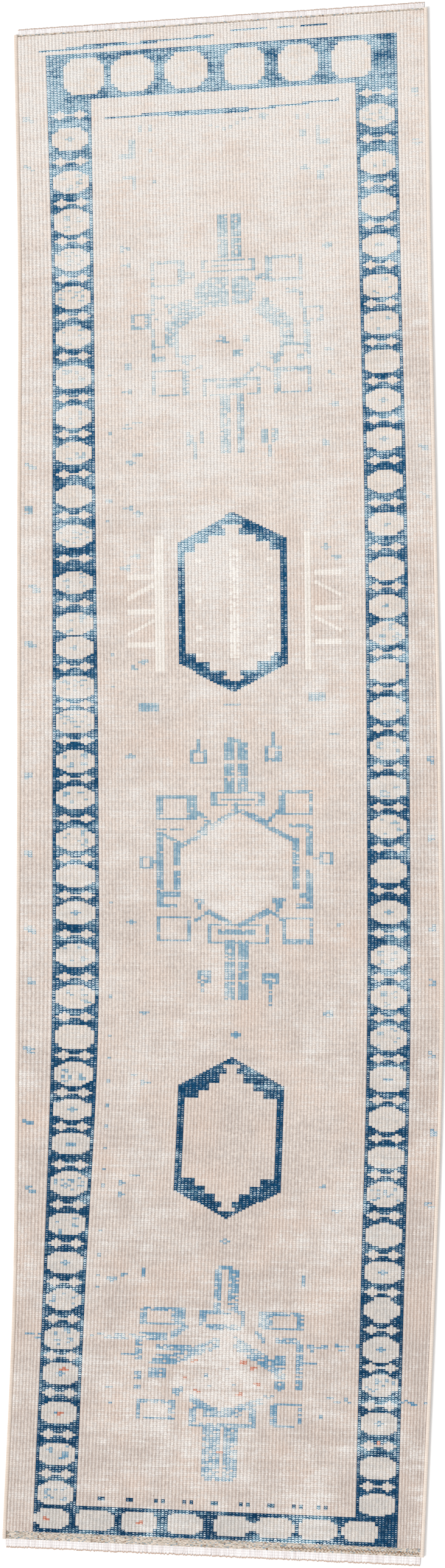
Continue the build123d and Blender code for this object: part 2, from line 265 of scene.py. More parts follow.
def top_medallion():
    """Strokes of the top medallion."""
    strokes = [
        block(-23, -3, 152, 236), block(7, 22, 152, 236), outline(-55, 49, 128, 151, (8, 8), (4, 4)),
        block(-30, 26, 136, 140), outline(-148, -81, 105, 153, (7, 15), (3, 5)),
        outline(72, 142, 106, 153, (13, 7), (3, 5)),
        patch((-67, 84), (-50, 62), (-3, 62), (-3, 117), (-40, 117), (-67, 98)),
        patch((6, 64), (34, 64), (49, 84), (49, 104), (30, 116), (6, 116)), block(49, 73, 107, 121),
        block(-85, -67, 117, 129), patch((-43, 51), (-70, 79), (-122, 70), (-98, 25)),
        patch((46, 53), (69, 77), (119, 32), (96, 11)), block(-121, -99, -9, 39),
        block(96, 118, -10, 35), block(-151, -139, 53, 90), block(-151, -139, -26, 29),
        block(131, 140, 52, 89), block(137, 150, -43, 34), block(-151, -120, 80, 89),
        block(107, 140, 80, 90), block(-142, -132, 41, 46), block(119, 129, 41, 47),
        outline(-186, -151, 27, 56, (7, 7), (4, 4)), outline(142, 177, 27, 56, (7, 7), (4, 4)),
        block(-140, -113, -10, -6), block(-148, -124, -36, -27), block(104, 137, -16, -10),
        block(125, 150, -41, -32), patch((-96, -25), (-67, -27), (-84, -49)),
        patch((70, -25), (104, -27), (88, -51)), block(-103, -97, -30, 11), block(97, 103, -30, 11),
        band(12, -85, 40, -59, 7), band(40, -56, 55, -48, 6), band(55, -48, 84, -67, 6),
        band(-84, -62, -50, -46, 5), outline(-148, -79, -101, -52, (6, 9), (4, 4)),
        outline(81, 153, -104, -55, (12, 9), (4, 9)), outline(-52, 56, -106, -73, (8, 8), (4, 4)),
        block(-27, 30, -91, -83), block(-18, -3, -213, -103), block(11, 26, -213, -103),
        block(-81, -71, -195, -169), block(-60, -50, -195, -169), block(-68, -62, -222, -190),
        block(59, 69, -195, -170), block(77, 87, -195, -170), block(70, 76, -222, -190),
        patch((-26, -4), (-2, -6), (-12, 18)), block(23, 37, -8, 5), block(6, 22, -32, -20),
    ]
    return strokes, [block(-25, 24, 190, 194)]


def low_medallion():
    """Strokes of the low medallion."""
    strokes = [
        block(-17, -1.5, 121, 205), block(11, 27, 121, 205), block(-9, 19, 203, 211),
        outline(-39, 44, 98, 125, (9, 9), (4, 5)), block(-30, 34, 88, 97),
        outline(-152, -65, 96, 129, (12, 27), (4, 6)), outline(68, 148, 93, 126, (25, 12), (4, 6)),
        band(-90, 78, -61, 96, 12), band(62, 92, 80, 68, 12), band(-93, 30, -7, 66, 20),
        patch((-129, 24), (-116, 43), (-82, 42), (-90, 22)), block(-118, -57, 50, 61),
        band(26, 64, 120, 14, 26), block(-155, -100, 67, 82), block(-156, -142, 31, 72),
        block(-156, -142, -6, 9), block(-156, -142, -24, -17), block(-129, -102, -2, 14),
        block(98, 145, 67, 78), block(135, 148, -19, 67), block(97, 120, -21, 45),
        block(-181, -142, 38, 43), block(146, 175, 29, 33), block(-211, -175, 66, 70),
        patch((-95, -20), (-64, -19), (-76, -38)), patch((76, -28), (102, -28), (91, -37)),
        band(-54, -38, -4, -66, 14), band(7, -66, 76, -41, 12),
        outline(-150, -81, -82, -44, (7, 11), (4, 9)), outline(92, 153, -87, -44, (11, 7), (4, 4)),
        outline(-56, 67, -91, -56, (13, 13), (7, 4)), block(-31, 40, -74, -63), block(-26, 1, -187, -88),
        block(8, 34, -187, -88), block(-22, 30, -195, -187), block(-150, -144, 187, 205),
        block(142, 148, 176, 197), block(-206, -198, -26, -20), block(-204, -196, -58, -52),
        block(183, 189, -70, -64), block(164, 170, 52, 58), block(187, 193, 62, 68),
        block(-29, -22, 2, 10), block(-20, -13, -19, -13), block(11, 18, 12, 20), block(20, 26, -15, -9),
    ]
    gaps = [
        block(-35, 44, 142, 145), block(-156, -142, 52, 54), block(134, 149, 48, 51),
        block(134, 149, 8, 11), block(96, 121, 22, 26), block(96, 121, -3, 0),
    ]
    return strokes, gaps


# Each one's drawing, its middle, and the share of its knots that still hold their blue
MEDALLIONS = {
    "top_medallion": (top_medallion, 4.0, 832.0, 0.86),
    "middle_medallion": (middle_medallion, 5.0, -155.0, 0.94),
    "low_medallion": (low_medallion, 0.0, -1113.0, 0.86),
}


def about(across, along, drawing):
    """What a drawing gives when the loom is measured from this place on it."""
    global ACROSS, ALONG
    whole_loom = ACROSS, ALONG
    ACROSS, ALONG = ACROSS - across, ALONG - along
    drawn = drawing()
    ACROSS, ALONG = whole_loom
    return drawn


def weave_medallions():
    """Each medallion, drawn about its own middle."""
    for name, (drawing, across, along, share) in MEDALLIONS.items():
        strokes, gaps = about(across, along, drawing)
        weave(name, np.any(strokes, axis=0) & ~np.any(gaps, axis=0) & (rng.random(SHAPE) < share))


# ---- Rings ----

# The inside of each ring is a stack of boxes: how far each reaches across and along from its middle
UPPER_STEPS = ((88.5, 95), (70, 111), (46, 126), (14, 137), (9, 146))
LOWER_STEPS = ((86.5, 75), (62, 89), (42, 104), (20, 119), (10, 133))
# Near each tip of the inside is a bulge: how far it reaches across and along, and how deep it is
UPPER_BULGE, LOWER_BULGE, BULGE_DEPTH = (20, 145), (13, 137), 7
# The middle of each ring, its half width, half the length of its sides and half its full length
UPPER_RING = (5, 340, 102, 115, 169)
LOWER_RING = (0, -663, 100, 98, 152)

# The ivory frame: a spine inside the upper ring, then dashes, a post and rays on both sides of it
FRAME_SPINE, SPINE_SHARE = (-6, 14, 235, 440), 0.7
FRAME_MIDDLE = 5
FRAME_DASHES, DASH_FROM_MIDDLE, DASH_SIZE = (415, 362, 340, 292, 268, 238), 66, 7
FRAME_POST = (132, 147, 214, 468)
FRAME_RAYS = ((392, 392), (374, 350), (326, 326), (308, 284), (264, 264))
RAY_START, RAY_END, RAY_THICK = 153, 200, 8


def ring(across, along, half_width, half_side, half_height, steps, bulge):
    """Knots of a six-sided ring, whose inner corners go in steps up to a bulge."""
    x, y = np.abs(ACROSS - across), np.abs(ALONG - along)
    slope = (half_height - half_side) / half_width
    outside = (x < half_width) & (y < half_height - slope * x)
    inside = (x < bulge[0]) & (y > bulge[1] - BULGE_DEPTH) & (y < bulge[1])
    for reach_across, reach_along in steps:
        inside |= (x < reach_across) & (y < reach_along)
    return outside & ~inside


def weave_rings():
    """The two rings, and the ivory frame in and round the upper one."""
    weave("upper_ring", ring(*UPPER_RING, UPPER_STEPS, UPPER_BULGE))
    weave("lower_ring", ring(*LOWER_RING, LOWER_STEPS, LOWER_BULGE))
    weave("ivory_frame", block(*FRAME_SPINE) & (rng.random(SHAPE) < SPINE_SHARE))
    near_side, far_side, low, high = FRAME_POST
    for side in (-1, 1):
        middle = FRAME_MIDDLE + side * DASH_FROM_MIDDLE
        for along in FRAME_DASHES:
            weave("ivory_frame", block(middle - DASH_SIZE, middle + DASH_SIZE, along, along + DASH_SIZE))
        post = sorted((FRAME_MIDDLE + side * near_side, FRAME_MIDDLE + side * far_side))
        weave("ivory_frame", block(*post, low, high))
        for near, far in FRAME_RAYS:
            ends = sorted(((FRAME_MIDDLE + side * RAY_START, near), (FRAME_MIDDLE + side * RAY_END, far)))
            weave("ivory_frame", band(*ends[0], *ends[1], RAY_THICK))


# ---- Borders ----

# Half the width, height, flat end and flat side of the octagons, and how much each of them varies
OCTAGON = (35.2, 22.0, 14.0, 11.0)
OCTAGON_VARIES = (0.4, 1.0, 3.0, 2.5)
TOP_OCTAGON = (40.0, 35.0, 22.0, 16.0)
LOW_OCTAGON = (35.0, 20.0, 20.0, 8.0)
END_OCTAGON_VARIES = (1.5, 1.0, 3.0, 2.0)
# Where the first octagon of each long border is, and how far each of the others is below the last
LEFT_FIRST, RIGHT_FIRST = 1226.0, 1235.0
LEFT_GAPS = (84, 74, 70, 72, 75, 77, 75, 67, 82, 77, 87, 80, 45, 75, 66, 76, 70, 78,
             72, 69, 80, 78, 74, 70, 69, 65, 75, 75, 73, 71, 71, 68, 76, 76, 75)
RIGHT_GAPS = (87, 79, 74, 75, 71, 70, 73, 73, 77, 79, 83, 67, 50, 70, 67, 75, 70, 73,
              82, 76, 85, 74, 75, 79, 72, 71, 71, 75, 70, 71, 71, 67, 72, 80, 71)
# How far across the octagons of the two short borders are
TOP_PLACES = (-265, -173, -69, 41, 144, 248)
LOW_PLACES = (-299, -219, -138, -56, 29, 106, 184, 265)
# A gap wider than this holds a bow tie, and one more is this far above the first octagon
LEAST_GAP_WITH_TIE = 60
TIE_ABOVE_FIRST = 43
# Half the width, half the height and the share of knots of an octagon's cross and of its haze
CROSS, HAZE = ((9, 2, 0.9), (3, 5, 0.9)), (26, 13, 0.22)
# Where the four smudges in an octagon are from its middle, how far each may be off that, and between
# which values are its half width, its half height and its share of knots
FLECKS = ((-14, 6), (12, 11), (16, -5), (-9, -11))
FLECK_OFF, FLECK_SIZES, FLECK_SHARES = (4, 3), ((4, 8), (3, 8)), (0.1, 0.75)
# An octagon's draw gives it a cross below the first of these, a haze below the second, four smudges
# below the third, and nothing above it
CROSS_BELOW, HAZE_BELOW, SMUDGES_BELOW = 0.25, 0.4, 0.75


def smudge(across, along, half_width, half_height, share):
    """A small patch that keeps a share of its knots."""
    return box(across, along, half_width, half_height) & (rng.random(SHAPE) < share)


def weave_flecks(across, along):
    """Blue inside an octagon: a cross in its middle, a haze of knots, four smudges or nothing."""
    kind = rng.random()
    if kind < CROSS_BELOW:
        for arm in CROSS:
            weave("guard_marks", smudge(across, along, *arm))
    elif kind < HAZE_BELOW:
        weave("field_marks", smudge(across, along, *HAZE))
    elif kind < SMUDGES_BELOW:
        for dx, dy in FLECKS:
            aside, lift = (rng.uniform(-off, off) for off in FLECK_OFF)
            size = [rng.uniform(*span) for span in FLECK_SIZES]
            share = rng.uniform(*FLECK_SHARES)
            weave("field_marks", smudge(across + dx + aside, along + dy + lift, *size, share))


def weave_side_border(name, side, first, gaps):
    """One long border: its ground, its chain of octagons and the bow ties between them."""
    across = side * (FIELD + BORDER) / 2
    inside = (side * ACROSS > FIELD) & (side * ACROSS < BORDER)
    weave(f"{name}_border", inside & (ALONG < TOP_INNER) & (ALONG > LOW_INNER))
    weave("border_bow_ties", bow_tie(across, nearest_row(first + TIE_ABOVE_FIRST)))
    places = first - np.concatenate([[0], np.cumsum(gaps)])
    for above, below in zip(places, places[1:]):
        if above - below > LEAST_GAP_WITH_TIE:
            weave("border_bow_ties", bow_tie(across, nearest_row((above + below) / 2)))
    for along in places:
        size = np.array(OCTAGON) + rng.uniform(-1, 1, 4) * OCTAGON_VARIES
        weave(f"{name}_border_octagons", octagon(across, nearest_row(along), size))
        weave_flecks(across, along)


def weave_end_border(name, low, high, places, size):
    """The border across one end, with its octagons."""
    weave(f"{name}_border", block(-BORDER, BORDER, low, high))
    for across in places:
        own = np.array(size) + rng.uniform(-1, 1, 4) * END_OCTAGON_VARIES
        weave(f"{name}_border_octagons", octagon(across, (low + high) / 2, own))


def pinstripe(points, thick):
    """Knots of a thin dark line across the rug, through the places listed from left to right."""
    line = np.interp(ACROSS[0], *zip(*points))[None, :]
    beside = (ACROSS > points[0][0]) & (ACROSS < points[-1][0])
    return beside & (np.abs(ALONG - line) < thick / 2)


# ---- Small marks ----

# Middles of the marks, across and along. Each is made of one or two smudges: for those, half the
# width, half the height and the share of knots. Guard smudges are off the middle by fixed steps, and
# a field mark's spur by up to so much across
GUARD_SMUDGE, GUARD_STEPS = (6, 4, 0.75), ((-3, 3), (2, -3))
FIELD_STROKE, FIELD_SPUR, SPUR_OFF = (9, 2.5, 0.8), (4, 6, 0.75), 5
RUST_SMUDGE = (6.5, 3.5, 0.7)
GUARD_MARKS = (
    (-369, 1265), (-371, 1174), (-374, 526), (-374, 14), (-373, -135), (-372, -277), (-372, -372),
    (-371, -503), (-369, -639), (-366, -767), (-370, 609), (-364, 375), (-370, 267), (369, 1274),
    (370, 1180), (373, 617), (373, 528), (376, 43), (375, -99), (375, -266), (374, -365), (374, -501),
    (378, -644), (380, -782),
)
FIELD_MARKS = (
    (-197, 409), (-177, 432), (178, 438), (200, 420), (-140, 1196), (-138, 1137), (150, 1211),
    (155, 1146), (75, 1247), (-54, -357), (71, -360), (-165, -430), (179, -428), (6, -469), (-174, -736),
    (-195, -751), (174, -751), (2, -857), (203, -795), (-194, 51), (190, 92), (-194, -261), (196, -261),
    (-182, -548), (-160, -562), (-194, -772), (-205, -932), (-183, -922), (-194, 1011), (-190, 981),
    (190, 999), (-188, 790), (193, 805), (-190, 742), (195, 759), (-173, 683), (-190, 674), (198, 703),
    (183, 633), (-173, 622), (-187, 610), (-192, 522), (-173, 511), (-167, 232), (-187, 218),
)
# Marks of a knot or two close to the border, and half their width and height
EDGE_MARK_SIZE = (3.5, 2.5)
EDGE_MARKS = (
    (-225, 775), (-226, 665), (-227, 538), (-228, 500), (-226, 246), (-226, 184), (-232, -224),
    (-232, -400), (-232, -475), (-230, -517), (-230, -560), (-230, -606), (-230, -646), (-230, -687),
    (-230, -725), (-230, -757), (-230, -843), (-230, -887), (-230, -927), (-230, -949),
)
RUST_MARKS = (
    (-47, -1082), (41, -1083), (61, -1094), (-69, -1114), (65, -1122), (-42, -1137), (38, -1141),
    (1, -1252), (-288, -1104), (-290, -1190), (292, -1223), (-309, -1391), (-138, -1390),
)
# A row of double dots: where each pair is across, the row's place along, how far each dot is from
# the middle of its pair, and half its width and height
DOT_MARKS = (-208, -157, -101, -51, -4, 51, 98, 147, 192)
DOT_ALONG = -1349.0
DOT_FROM_MIDDLE, DOT_SIZE = 5, (2, 4)
# Bigger patches, by their left, right, low and high sides
FIELD_BLOCKS = (
    (-182, -169, 1182, 1216), (-200, -169, 1181, 1191), (-198, -169, 1141, 1147),
    (-177, -167, 1121, 1147), (-165, -157, 1229, 1242), (-146, -137, 1229, 1242), (140, 147, 1236, 1247),
    (160, 166, 1236, 1247), (173, 184, 1188, 1222), (173, 203, 1188, 1196), (190, 203, 1143, 1150),
    (178, 190, 1122, 1140), (-173, -139, 137, 153), (147, 178, 153, 169), (-14, 14, 146, 149),
)
# Thin dotted lines, by their two ends
FIELD_LINES = ((-37, 1239, 6, 1225), (6, 1225, 35, 1242), (35, 1242, 61, 1245))
FIELD_LINE_THICK = 5
# Scattered knots of blue: left, right, place along and how many
STREAKS = ((-250, -150, -1042, 18), (150, 250, -1052, 14), (190, 385, -1151, 14), (-380, -340, -1047, 6))
STREAK_HEIGHT, STREAK_LIFT, STREAK_WIDTHS = 3.6, 5, (4, 12)


def weave_marks():
    """The small loose marks of each colour."""
    for across, along in GUARD_MARKS:
        for dx, dy in GUARD_STEPS:
            weave("guard_marks", smudge(across + dx, along + dy, *GUARD_SMUDGE))
    for across, along in FIELD_MARKS:
        weave("field_marks", smudge(across, along, *FIELD_STROKE))
        weave("field_marks", smudge(across + rng.uniform(-SPUR_OFF, SPUR_OFF), along, *FIELD_SPUR))
    for across, along in EDGE_MARKS:
        weave("field_marks", box(across, along, *EDGE_MARK_SIZE))
    for left, right, low, high in FIELD_BLOCKS:
        weave("field_marks", block(left, right, low, high))
    for ends in FIELD_LINES:
        weave("field_marks", band(*ends, FIELD_LINE_THICK) & (COLUMN_NUMBERS % 2 == 0))
    for left, right, along, count in STREAKS:
        for across in rng.uniform(left, right, count):
            low = along + rng.uniform(-STREAK_LIFT, STREAK_LIFT)
            width = rng.uniform(*STREAK_WIDTHS)
            weave("field_marks", block(across, across + width, low, low + STREAK_HEIGHT))
    for across, along in RUST_MARKS:
        weave("rust_marks", smudge(across, along, *RUST_SMUDGE))
    for across in DOT_MARKS:
        for side in (-1, 1):
            weave("field_dots", box(across + side * DOT_FROM_MIDDLE, DOT_ALONG, *DOT_SIZE))


# Thin dark lines: the piece, the places each goes through, and how thick it is
PINSTRIPES = (
    ("top_pinstripe", ((-349, 1393), (-240, 1396), (-13, 1403)), 4.2),
    ("top_pinstripe", ((-300, 1396), (-180, 1399)), 7.5),
    ("top_pinstripe", ((18, 1409.18), (88, 1409.88)), 3.6),
    ("top_pinstripe", ((108, 1410.08), (140, 1410.4)), 3.6),
    ("top_pinstripe", ((148, 1410.48), (202, 1411.02)), 3.6),
    ("field_pinstripe", ((-227, 1262), (47, 1260), (223, 1269)), 4.0),
    ("field_pinstripe", ((-160, 1262), (50, 1260)), 8.0),
)
# The ground of the field is in four pieces, cut at these places along it
FIELD_PARTS = ("field_low", "field_below_middle", "field_above_middle", "field_top")
FIELD_CUTS = (-1440, -700, 0, 700, 1440)


def weave_rug():
    """Every knot of the rug, from the ground to the small marks."""
    for name, low, high in zip(FIELD_PARTS, FIELD_CUTS, FIELD_CUTS[1:]):
        weave(name, (np.abs(ACROSS) < FIELD) & (ALONG > low) & (ALONG < high))
    weave("left_guard", ACROSS < -BORDER)
    weave("right_guard", ACROSS > BORDER)
    weave("top_guard", block(-BORDER, BORDER, TOP_OUTER, TOP_PILE))
    weave_side_border("left", -1, LEFT_FIRST, LEFT_GAPS)
    weave_side_border("right", 1, RIGHT_FIRST, RIGHT_GAPS)
    weave_end_border("top", TOP_INNER, TOP_OUTER, TOP_PLACES, TOP_OCTAGON)
    weave_end_border("low", LOW_PILE, LOW_INNER, LOW_PLACES, LOW_OCTAGON)
    for name, points, thick in PINSTRIPES:
        weave(name, pinstripe(points, thick))
    weave_medallions()
    weave_rings()
    weave_marks()


weave_rug()


# ---- How worn and how deeply dyed each knot is ----

# Up to just short of the last line of random values, so that every place has a line after it
SHORT_OF_LAST = 1.001


def drift(across_size, along_size):
    """Slow random change over the rug, from 0 to 1."""
    rows = int(np.ptp(ALONG) / along_size) + 2
    columns = int(np.ptp(ACROSS) / across_size) + 2
    coarse = rng.random((rows, columns))
    at_rows = np.linspace(0, rows - SHORT_OF_LAST, ROWS)
    at_columns = np.linspace(0, columns - SHORT_OF_LAST, COLUMNS)
    i, j = at_rows.astype(int)[:, None], at_columns.astype(int)[None, :]
    f, g = (at_rows % 1)[:, None], (at_columns % 1)[None, :]
    f, g = f * f * (3 - 2 * f), g * g * (3 - 2 * g)
    low = coarse[i, j] * (1 - g) + coarse[i, j + 1] * g
    high = coarse[i + 1, j] * (1 - g) + coarse[i + 1, j + 1] * g
    return low * (1 - f) + high * f


def spot(across, along, half_width, half_height):
    """A soft patch, 1 in its middle."""
    away = ((ACROSS - across) / half_width) ** 2 + ((ALONG - along) / half_height) ** 2
    return np.exp(-away)


# How worn the rug is at places along it
WEAR_PLACES = (-1440, -1250, -1000, -600, -200, 200, 700, 1200, 1300, 1440)
WEAR_LEVELS = (0.30, 0.20, 0.18, 0.22, 0.30, 0.32, 0.44, 0.62, 0.84, 0.55)
# Random wear: how far across and along each patch of it goes, and how strong it is
WEAR_DRIFTS = ((70, 90, 0.6), (22, 20, 0.7), (90, 4, 0.6))
# How much more worn the small marks are than the wool round them
FIELD_MARK_WEAR, GUARD_MARK_WEAR = 0.2, 0.3
# Soft patches with more dye, or less of it below 0: middle, half width, half height and how much
DEEP_SPOTS = (
    (-374, 526, 15, 15, 1.0), (-369, -639, 15, 15, 1.0), (-88, 310, 14, 70, 0.4), (98, 280, 10, 60, 0.4),
    (-100, -1080, 30, 25, 0.45), (80, -1080, 40, 18, 0.3), (0, 822, 45, 35, 0.7),
    (4, -1245, 45, 60, -0.5), (0, -663, 120, 150, 0.3), (-40, -1165, 30, 12, 0.3),
    (-300, -1300, 60, 120, 0.2), (300, -1380, 60, 60, 0.3), (80, -225, 16, 16, 0.5),
    (-60, 470, 60, 60, -0.4), (4, 832, 170, 230, -0.4), (5, -155, 170, 250, 0.08),
    (0, -1113, 170, 150, -0.5), (-60, 430, 60, 60, -0.5),
)
# Middle of each pale inside, its half width, its top, shoulders, hips and bottom, and how much barer
PALE_HEXAGONS = (
    (5, -155, 103, 103, 45, -45, -104, 0.4), (4, 832, 101, 66, 14, -28, -76, 0.15),
    (5, 340, 90, 150, 100, -100, -150, 0.2),
)


def wear_of_rug():
    """0 where the pile keeps its dye, 1 where it is worn to pale."""
    wear = np.interp(ALONG, WEAR_PLACES, WEAR_LEVELS) + np.zeros(SHAPE)
    wear += sum(amount * (drift(*size) - 0.5) for *size, amount in WEAR_DRIFTS)
    wear += FIELD_MARK_WEAR * (owner == owners.index("field_marks"))
    wear += GUARD_MARK_WEAR * (owner == owners.index("guard_marks")) * (np.abs(ACROSS) > BORDER)
    for across, along, width, height, depth in DEEP_SPOTS:
        wear -= depth * spot(across, along, width, height)
    for across, along, half_width, top, shoulder, hip, bottom, bareness in PALE_HEXAGONS:
        left, right = across - half_width, across + half_width
        wear += bareness * patch(
            (left, along + shoulder), (across, along + top), (right, along + shoulder),
            (right, along + hip), (across, along + bottom), (left, along + hip),
        )
    return np.clip(wear, 0, 1)


# How deep the yarn's colour is at places along the rug, how it drifts, and how much deeper the right
# guard is, up to a height
TONE_PLACES = (-1440, -1000, -400, 400, 1440)
TONE_LEVELS = (0.86, 0.80, 0.54, 0.40, 0.12)
TONE_DRIFTS = ((120, 160, 0.2), (40, 30, 0.24), (90, 7, 0.2))
DEEP_GUARD, DEEP_GUARD_TOP = 0.2, 900


def tone_of_rug():
    """0 where the yarn's colour is lightest, 1 where it is deepest."""
    tone = np.interp(ALONG, TONE_PLACES, TONE_LEVELS) + np.zeros(SHAPE)
    tone += DEEP_GUARD * (ACROSS > BORDER) * (ALONG < DEEP_GUARD_TOP)
    tone += sum(amount * (drift(*size) - 0.5) for *size, amount in TONE_DRIFTS)
    return np.clip(tone, 0, 1)


WEAR = wear_of_rug()
TONE = tone_of_rug()


# ---- Meshes ----

def mesh_piece(name, points, faces, sizes, smooth, layers, uv):
    """A mesh object from flat arrays: corners of all faces in turn, and how many each face has."""
    used, corners = np.unique(faces, return_inverse=True)
    mesh = bpy.data.meshes.new(name)
    mesh.vertices.add(len(used))
    mesh.vertices.foreach_set("co", (points[used] * MM).astype(np.float32).ravel())
    mesh.loops.add(len(corners))
    mesh.loops.foreach_set("vertex_index", corners.astype(np.int32).ravel())
    mesh.polygons.add(len(sizes))
    starts = np.concatenate([[0], np.cumsum(sizes)[:-1]]).astype(np.int32)
    mesh.polygons.foreach_set("loop_start", starts)
    mesh.update(calc_edges=True)
    mesh.polygons.foreach_set("use_smooth", smooth)
    edges = np.empty(len(corners), np.int32)
    mesh.loops.foreach_get("edge_index", edges)
    sharp = np.zeros(len(mesh.edges), bool)
    sharp[edges[np.repeat(~smooth, sizes)]] = True
    mesh.edges.foreach_set("use_edge_sharp", sharp)
    for layer, values in layers.items():
        kind, field = ("FLOAT_COLOR", "color") if values.ndim == 2 else ("FLOAT", "value")
        attribute = mesh.attributes.new(layer, kind, "FACE")
        attribute.data.foreach_set(field, values.astype(np.float32).ravel())
    loom = mesh.uv_layers.new(name="loom")
    loom.data.foreach_set("uv", uv[used][corners].astype(np.float32).ravel())
    piece = bpy.data.objects.new(name, mesh)
    bpy.context.scene.collection.objects.link(piece)
    return piece


# Corners across the top of a knot, in shares of its width: its groove, then both edges of its ridge
KNOT_STEPS = np.array((0.0, 0.3, 0.7))
# How much lower or higher a corner of the top may be
TOP_UNEVEN = (-0.22, 0.12)


def knot_grid():
    """Corner points of all the knots, tops first and then feet, with their places in knots."""
    in_knots = (np.arange(COLUMNS)[:, None] + KNOT_STEPS).ravel()
    in_knots = np.append(in_knots, COLUMNS)
    x, y = plan(((in_knots - COLUMNS / 2) * KNOT)[None, :], ROW_LINES[:, None])
    on_ridge = np.append(np.tile((0, 1, 1), COLUMNS), 0)
    z = np.where(on_ridge, RIDGE, GROOVE) + rng.uniform(*TOP_UNEVEN, x.shape)
    tops = np.stack([x, y, z], -1).reshape(-1, 3)
    x, y = plan(COLUMN_LINES[None, :], ROW_LINES[:, None])
    feet = np.stack([x, y, np.full(x.shape, PILE[0])], -1).reshape(-1, 3)
    rows = np.arange(ROWS + 1)[:, None]
    top_places = np.stack(np.broadcast_arrays(in_knots[None, :], rows), -1).reshape(-1, 2)
    foot_places = np.stack(np.broadcast_arrays(np.arange(COLUMNS + 1)[None, :], rows), -1).reshape(-1, 2)
    return np.concatenate([tops, feet]), np.concatenate([top_places, foot_places])


GRID, GRID_PLACES = knot_grid()
TOPS_IN_ROW = COLUMNS * 3 + 1
FIRST_FOOT = (ROWS + 1) * TOPS_IN_ROW


def top_corner(row, step):
    """Number of a corner of the pile's top, by its row line and its place along that line."""
    return row * TOPS_IN_ROW + step


def foot(row, column):
    """Number of a corner of the pile's foot, by its row line and its column line."""
    return FIRST_FOOT + row * (COLUMNS + 1) + column


def pile(name):
    """One closed block of pile for all the knots of a piece."""
    mine = owner == owners.index(name)
    framed = np.pad(mine, 1)
    r, c = np.nonzero(mine)
    k = 3 * c
    quads = [
        np.stack([top_corner(r, k + j), top_corner(r, k + j + 1), top_corner(r + 1, k + j + 1),
                  top_corner(r + 1, k + j)], -1) for j in range(3)
    ]
    quads.append(np.stack([foot(r, c), foot(r + 1, c), foot(r + 1, c + 1), foot(r, c + 1)], -1))
    at = [(r, c)] * 4
    left, right = ~framed[r + 1, c], ~framed[r + 1, c + 2]
    below, above = ~framed[r, c + 1], ~framed[r + 2, c + 1]
    a, b = r[left], c[left]
    quads.append(np.stack([top_corner(a, 3 * b), top_corner(a + 1, 3 * b), foot(a + 1, b), foot(a, b)], -1))
    at.append((a, b))
    a, b = r[right], c[right]
    quads.append(np.stack([top_corner(a + 1, 3 * b + 3), top_corner(a, 3 * b + 3), foot(a, b + 1),
                           foot(a + 1, b + 1)], -1))
    at.append((a, b))
    a, b = r[below], c[below]
    walls = [np.stack([foot(a, b), foot(a, b + 1), *(top_corner(a, 3 * b + j) for j in (3, 2, 1, 0))], -1)]
    at.append((a, b))
    a, b = r[above], c[above]
    walls.append(np.stack([foot(a + 1, b + 1), foot(a + 1, b),
                           *(top_corner(a + 1, 3 * b + j) for j in (0, 1, 2, 3))], -1))
    at.append((a, b))
    faces = np.concatenate([part.ravel() for part in (*quads, *walls)])
    sizes = np.concatenate([np.full(len(part), part.shape[1]) for part in (*quads, *walls)])
    smooth = np.zeros(len(sizes), bool)
    smooth[:3 * len(r)] = True
    rows = np.concatenate([part[0] for part in at])
    columns = np.concatenate([part[1] for part in at])
    layers = {"wear": WEAR[rows, columns], "tone": TONE[rows, columns]}
    return mesh_piece(name, GRID, faces, sizes, smooth, layers, GRID_PLACES)


UP = (0, 0, 1.0)


def cords(name, routes, wide, high, sides=6, in_shares=False):
    """Round or flattened cords along routes of equal point counts, with closed ends. Their map
    goes along them in millimetres, or in shares of their length."""
    count, length, _ = routes.shape
    way = np.gradient(routes, axis=1)
    side = np.stack([way[..., 1], -way[..., 0], np.zeros((count, length))], -1)
    side /= np.linalg.norm(side, axis=-1, keepdims=True)
    turn = np.arange(sides) * math.tau / sides
    wide, high = (np.broadcast_to(half, (count, length, sides))[..., None] for half in (wide, high))
    rings = routes[:, :, None] + side[:, :, None] * wide * np.cos(turn)[:, None]
    rings = rings + np.array(UP) * high * np.sin(turn)[:, None]
    index = np.arange(count * length * sides).reshape(count, length, sides)
    here, there = index[:, :-1], index[:, 1:]
    quads = np.stack([here, there, np.roll(there, -1, 2), np.roll(here, -1, 2)], -1).reshape(-1, 4)
    caps = np.concatenate([index[:, 0], index[:, -1, ::-1]])
    faces = np.concatenate([quads.ravel(), caps.ravel()])
    sizes = np.concatenate([np.full(len(quads), 4), np.full(len(caps), sides)])
    smooth = np.arange(len(sizes)) < len(quads)
    tones = rng.random(count)
    tone = np.concatenate([np.repeat(tones, (length - 1) * sides), tones, tones])
    steps = np.linalg.norm(np.diff(routes, axis=1), axis=-1)
    travelled = np.concatenate([np.zeros((count, 1)), np.cumsum(steps, axis=1)], 1)
    if in_shares:
        travelled = travelled / travelled[:, -1:]
    uv = np.stack(np.broadcast_arrays((np.arange(sides) / sides)[None, None], travelled[..., None]), -1)
    return mesh_piece(name, rings.reshape(-1, 3), faces, sizes, smooth, {"tone": tone}, uv.reshape(-1, 2))


# The usual height of a row, for the maps of the back and the webs
MAP_ROW = 3.4


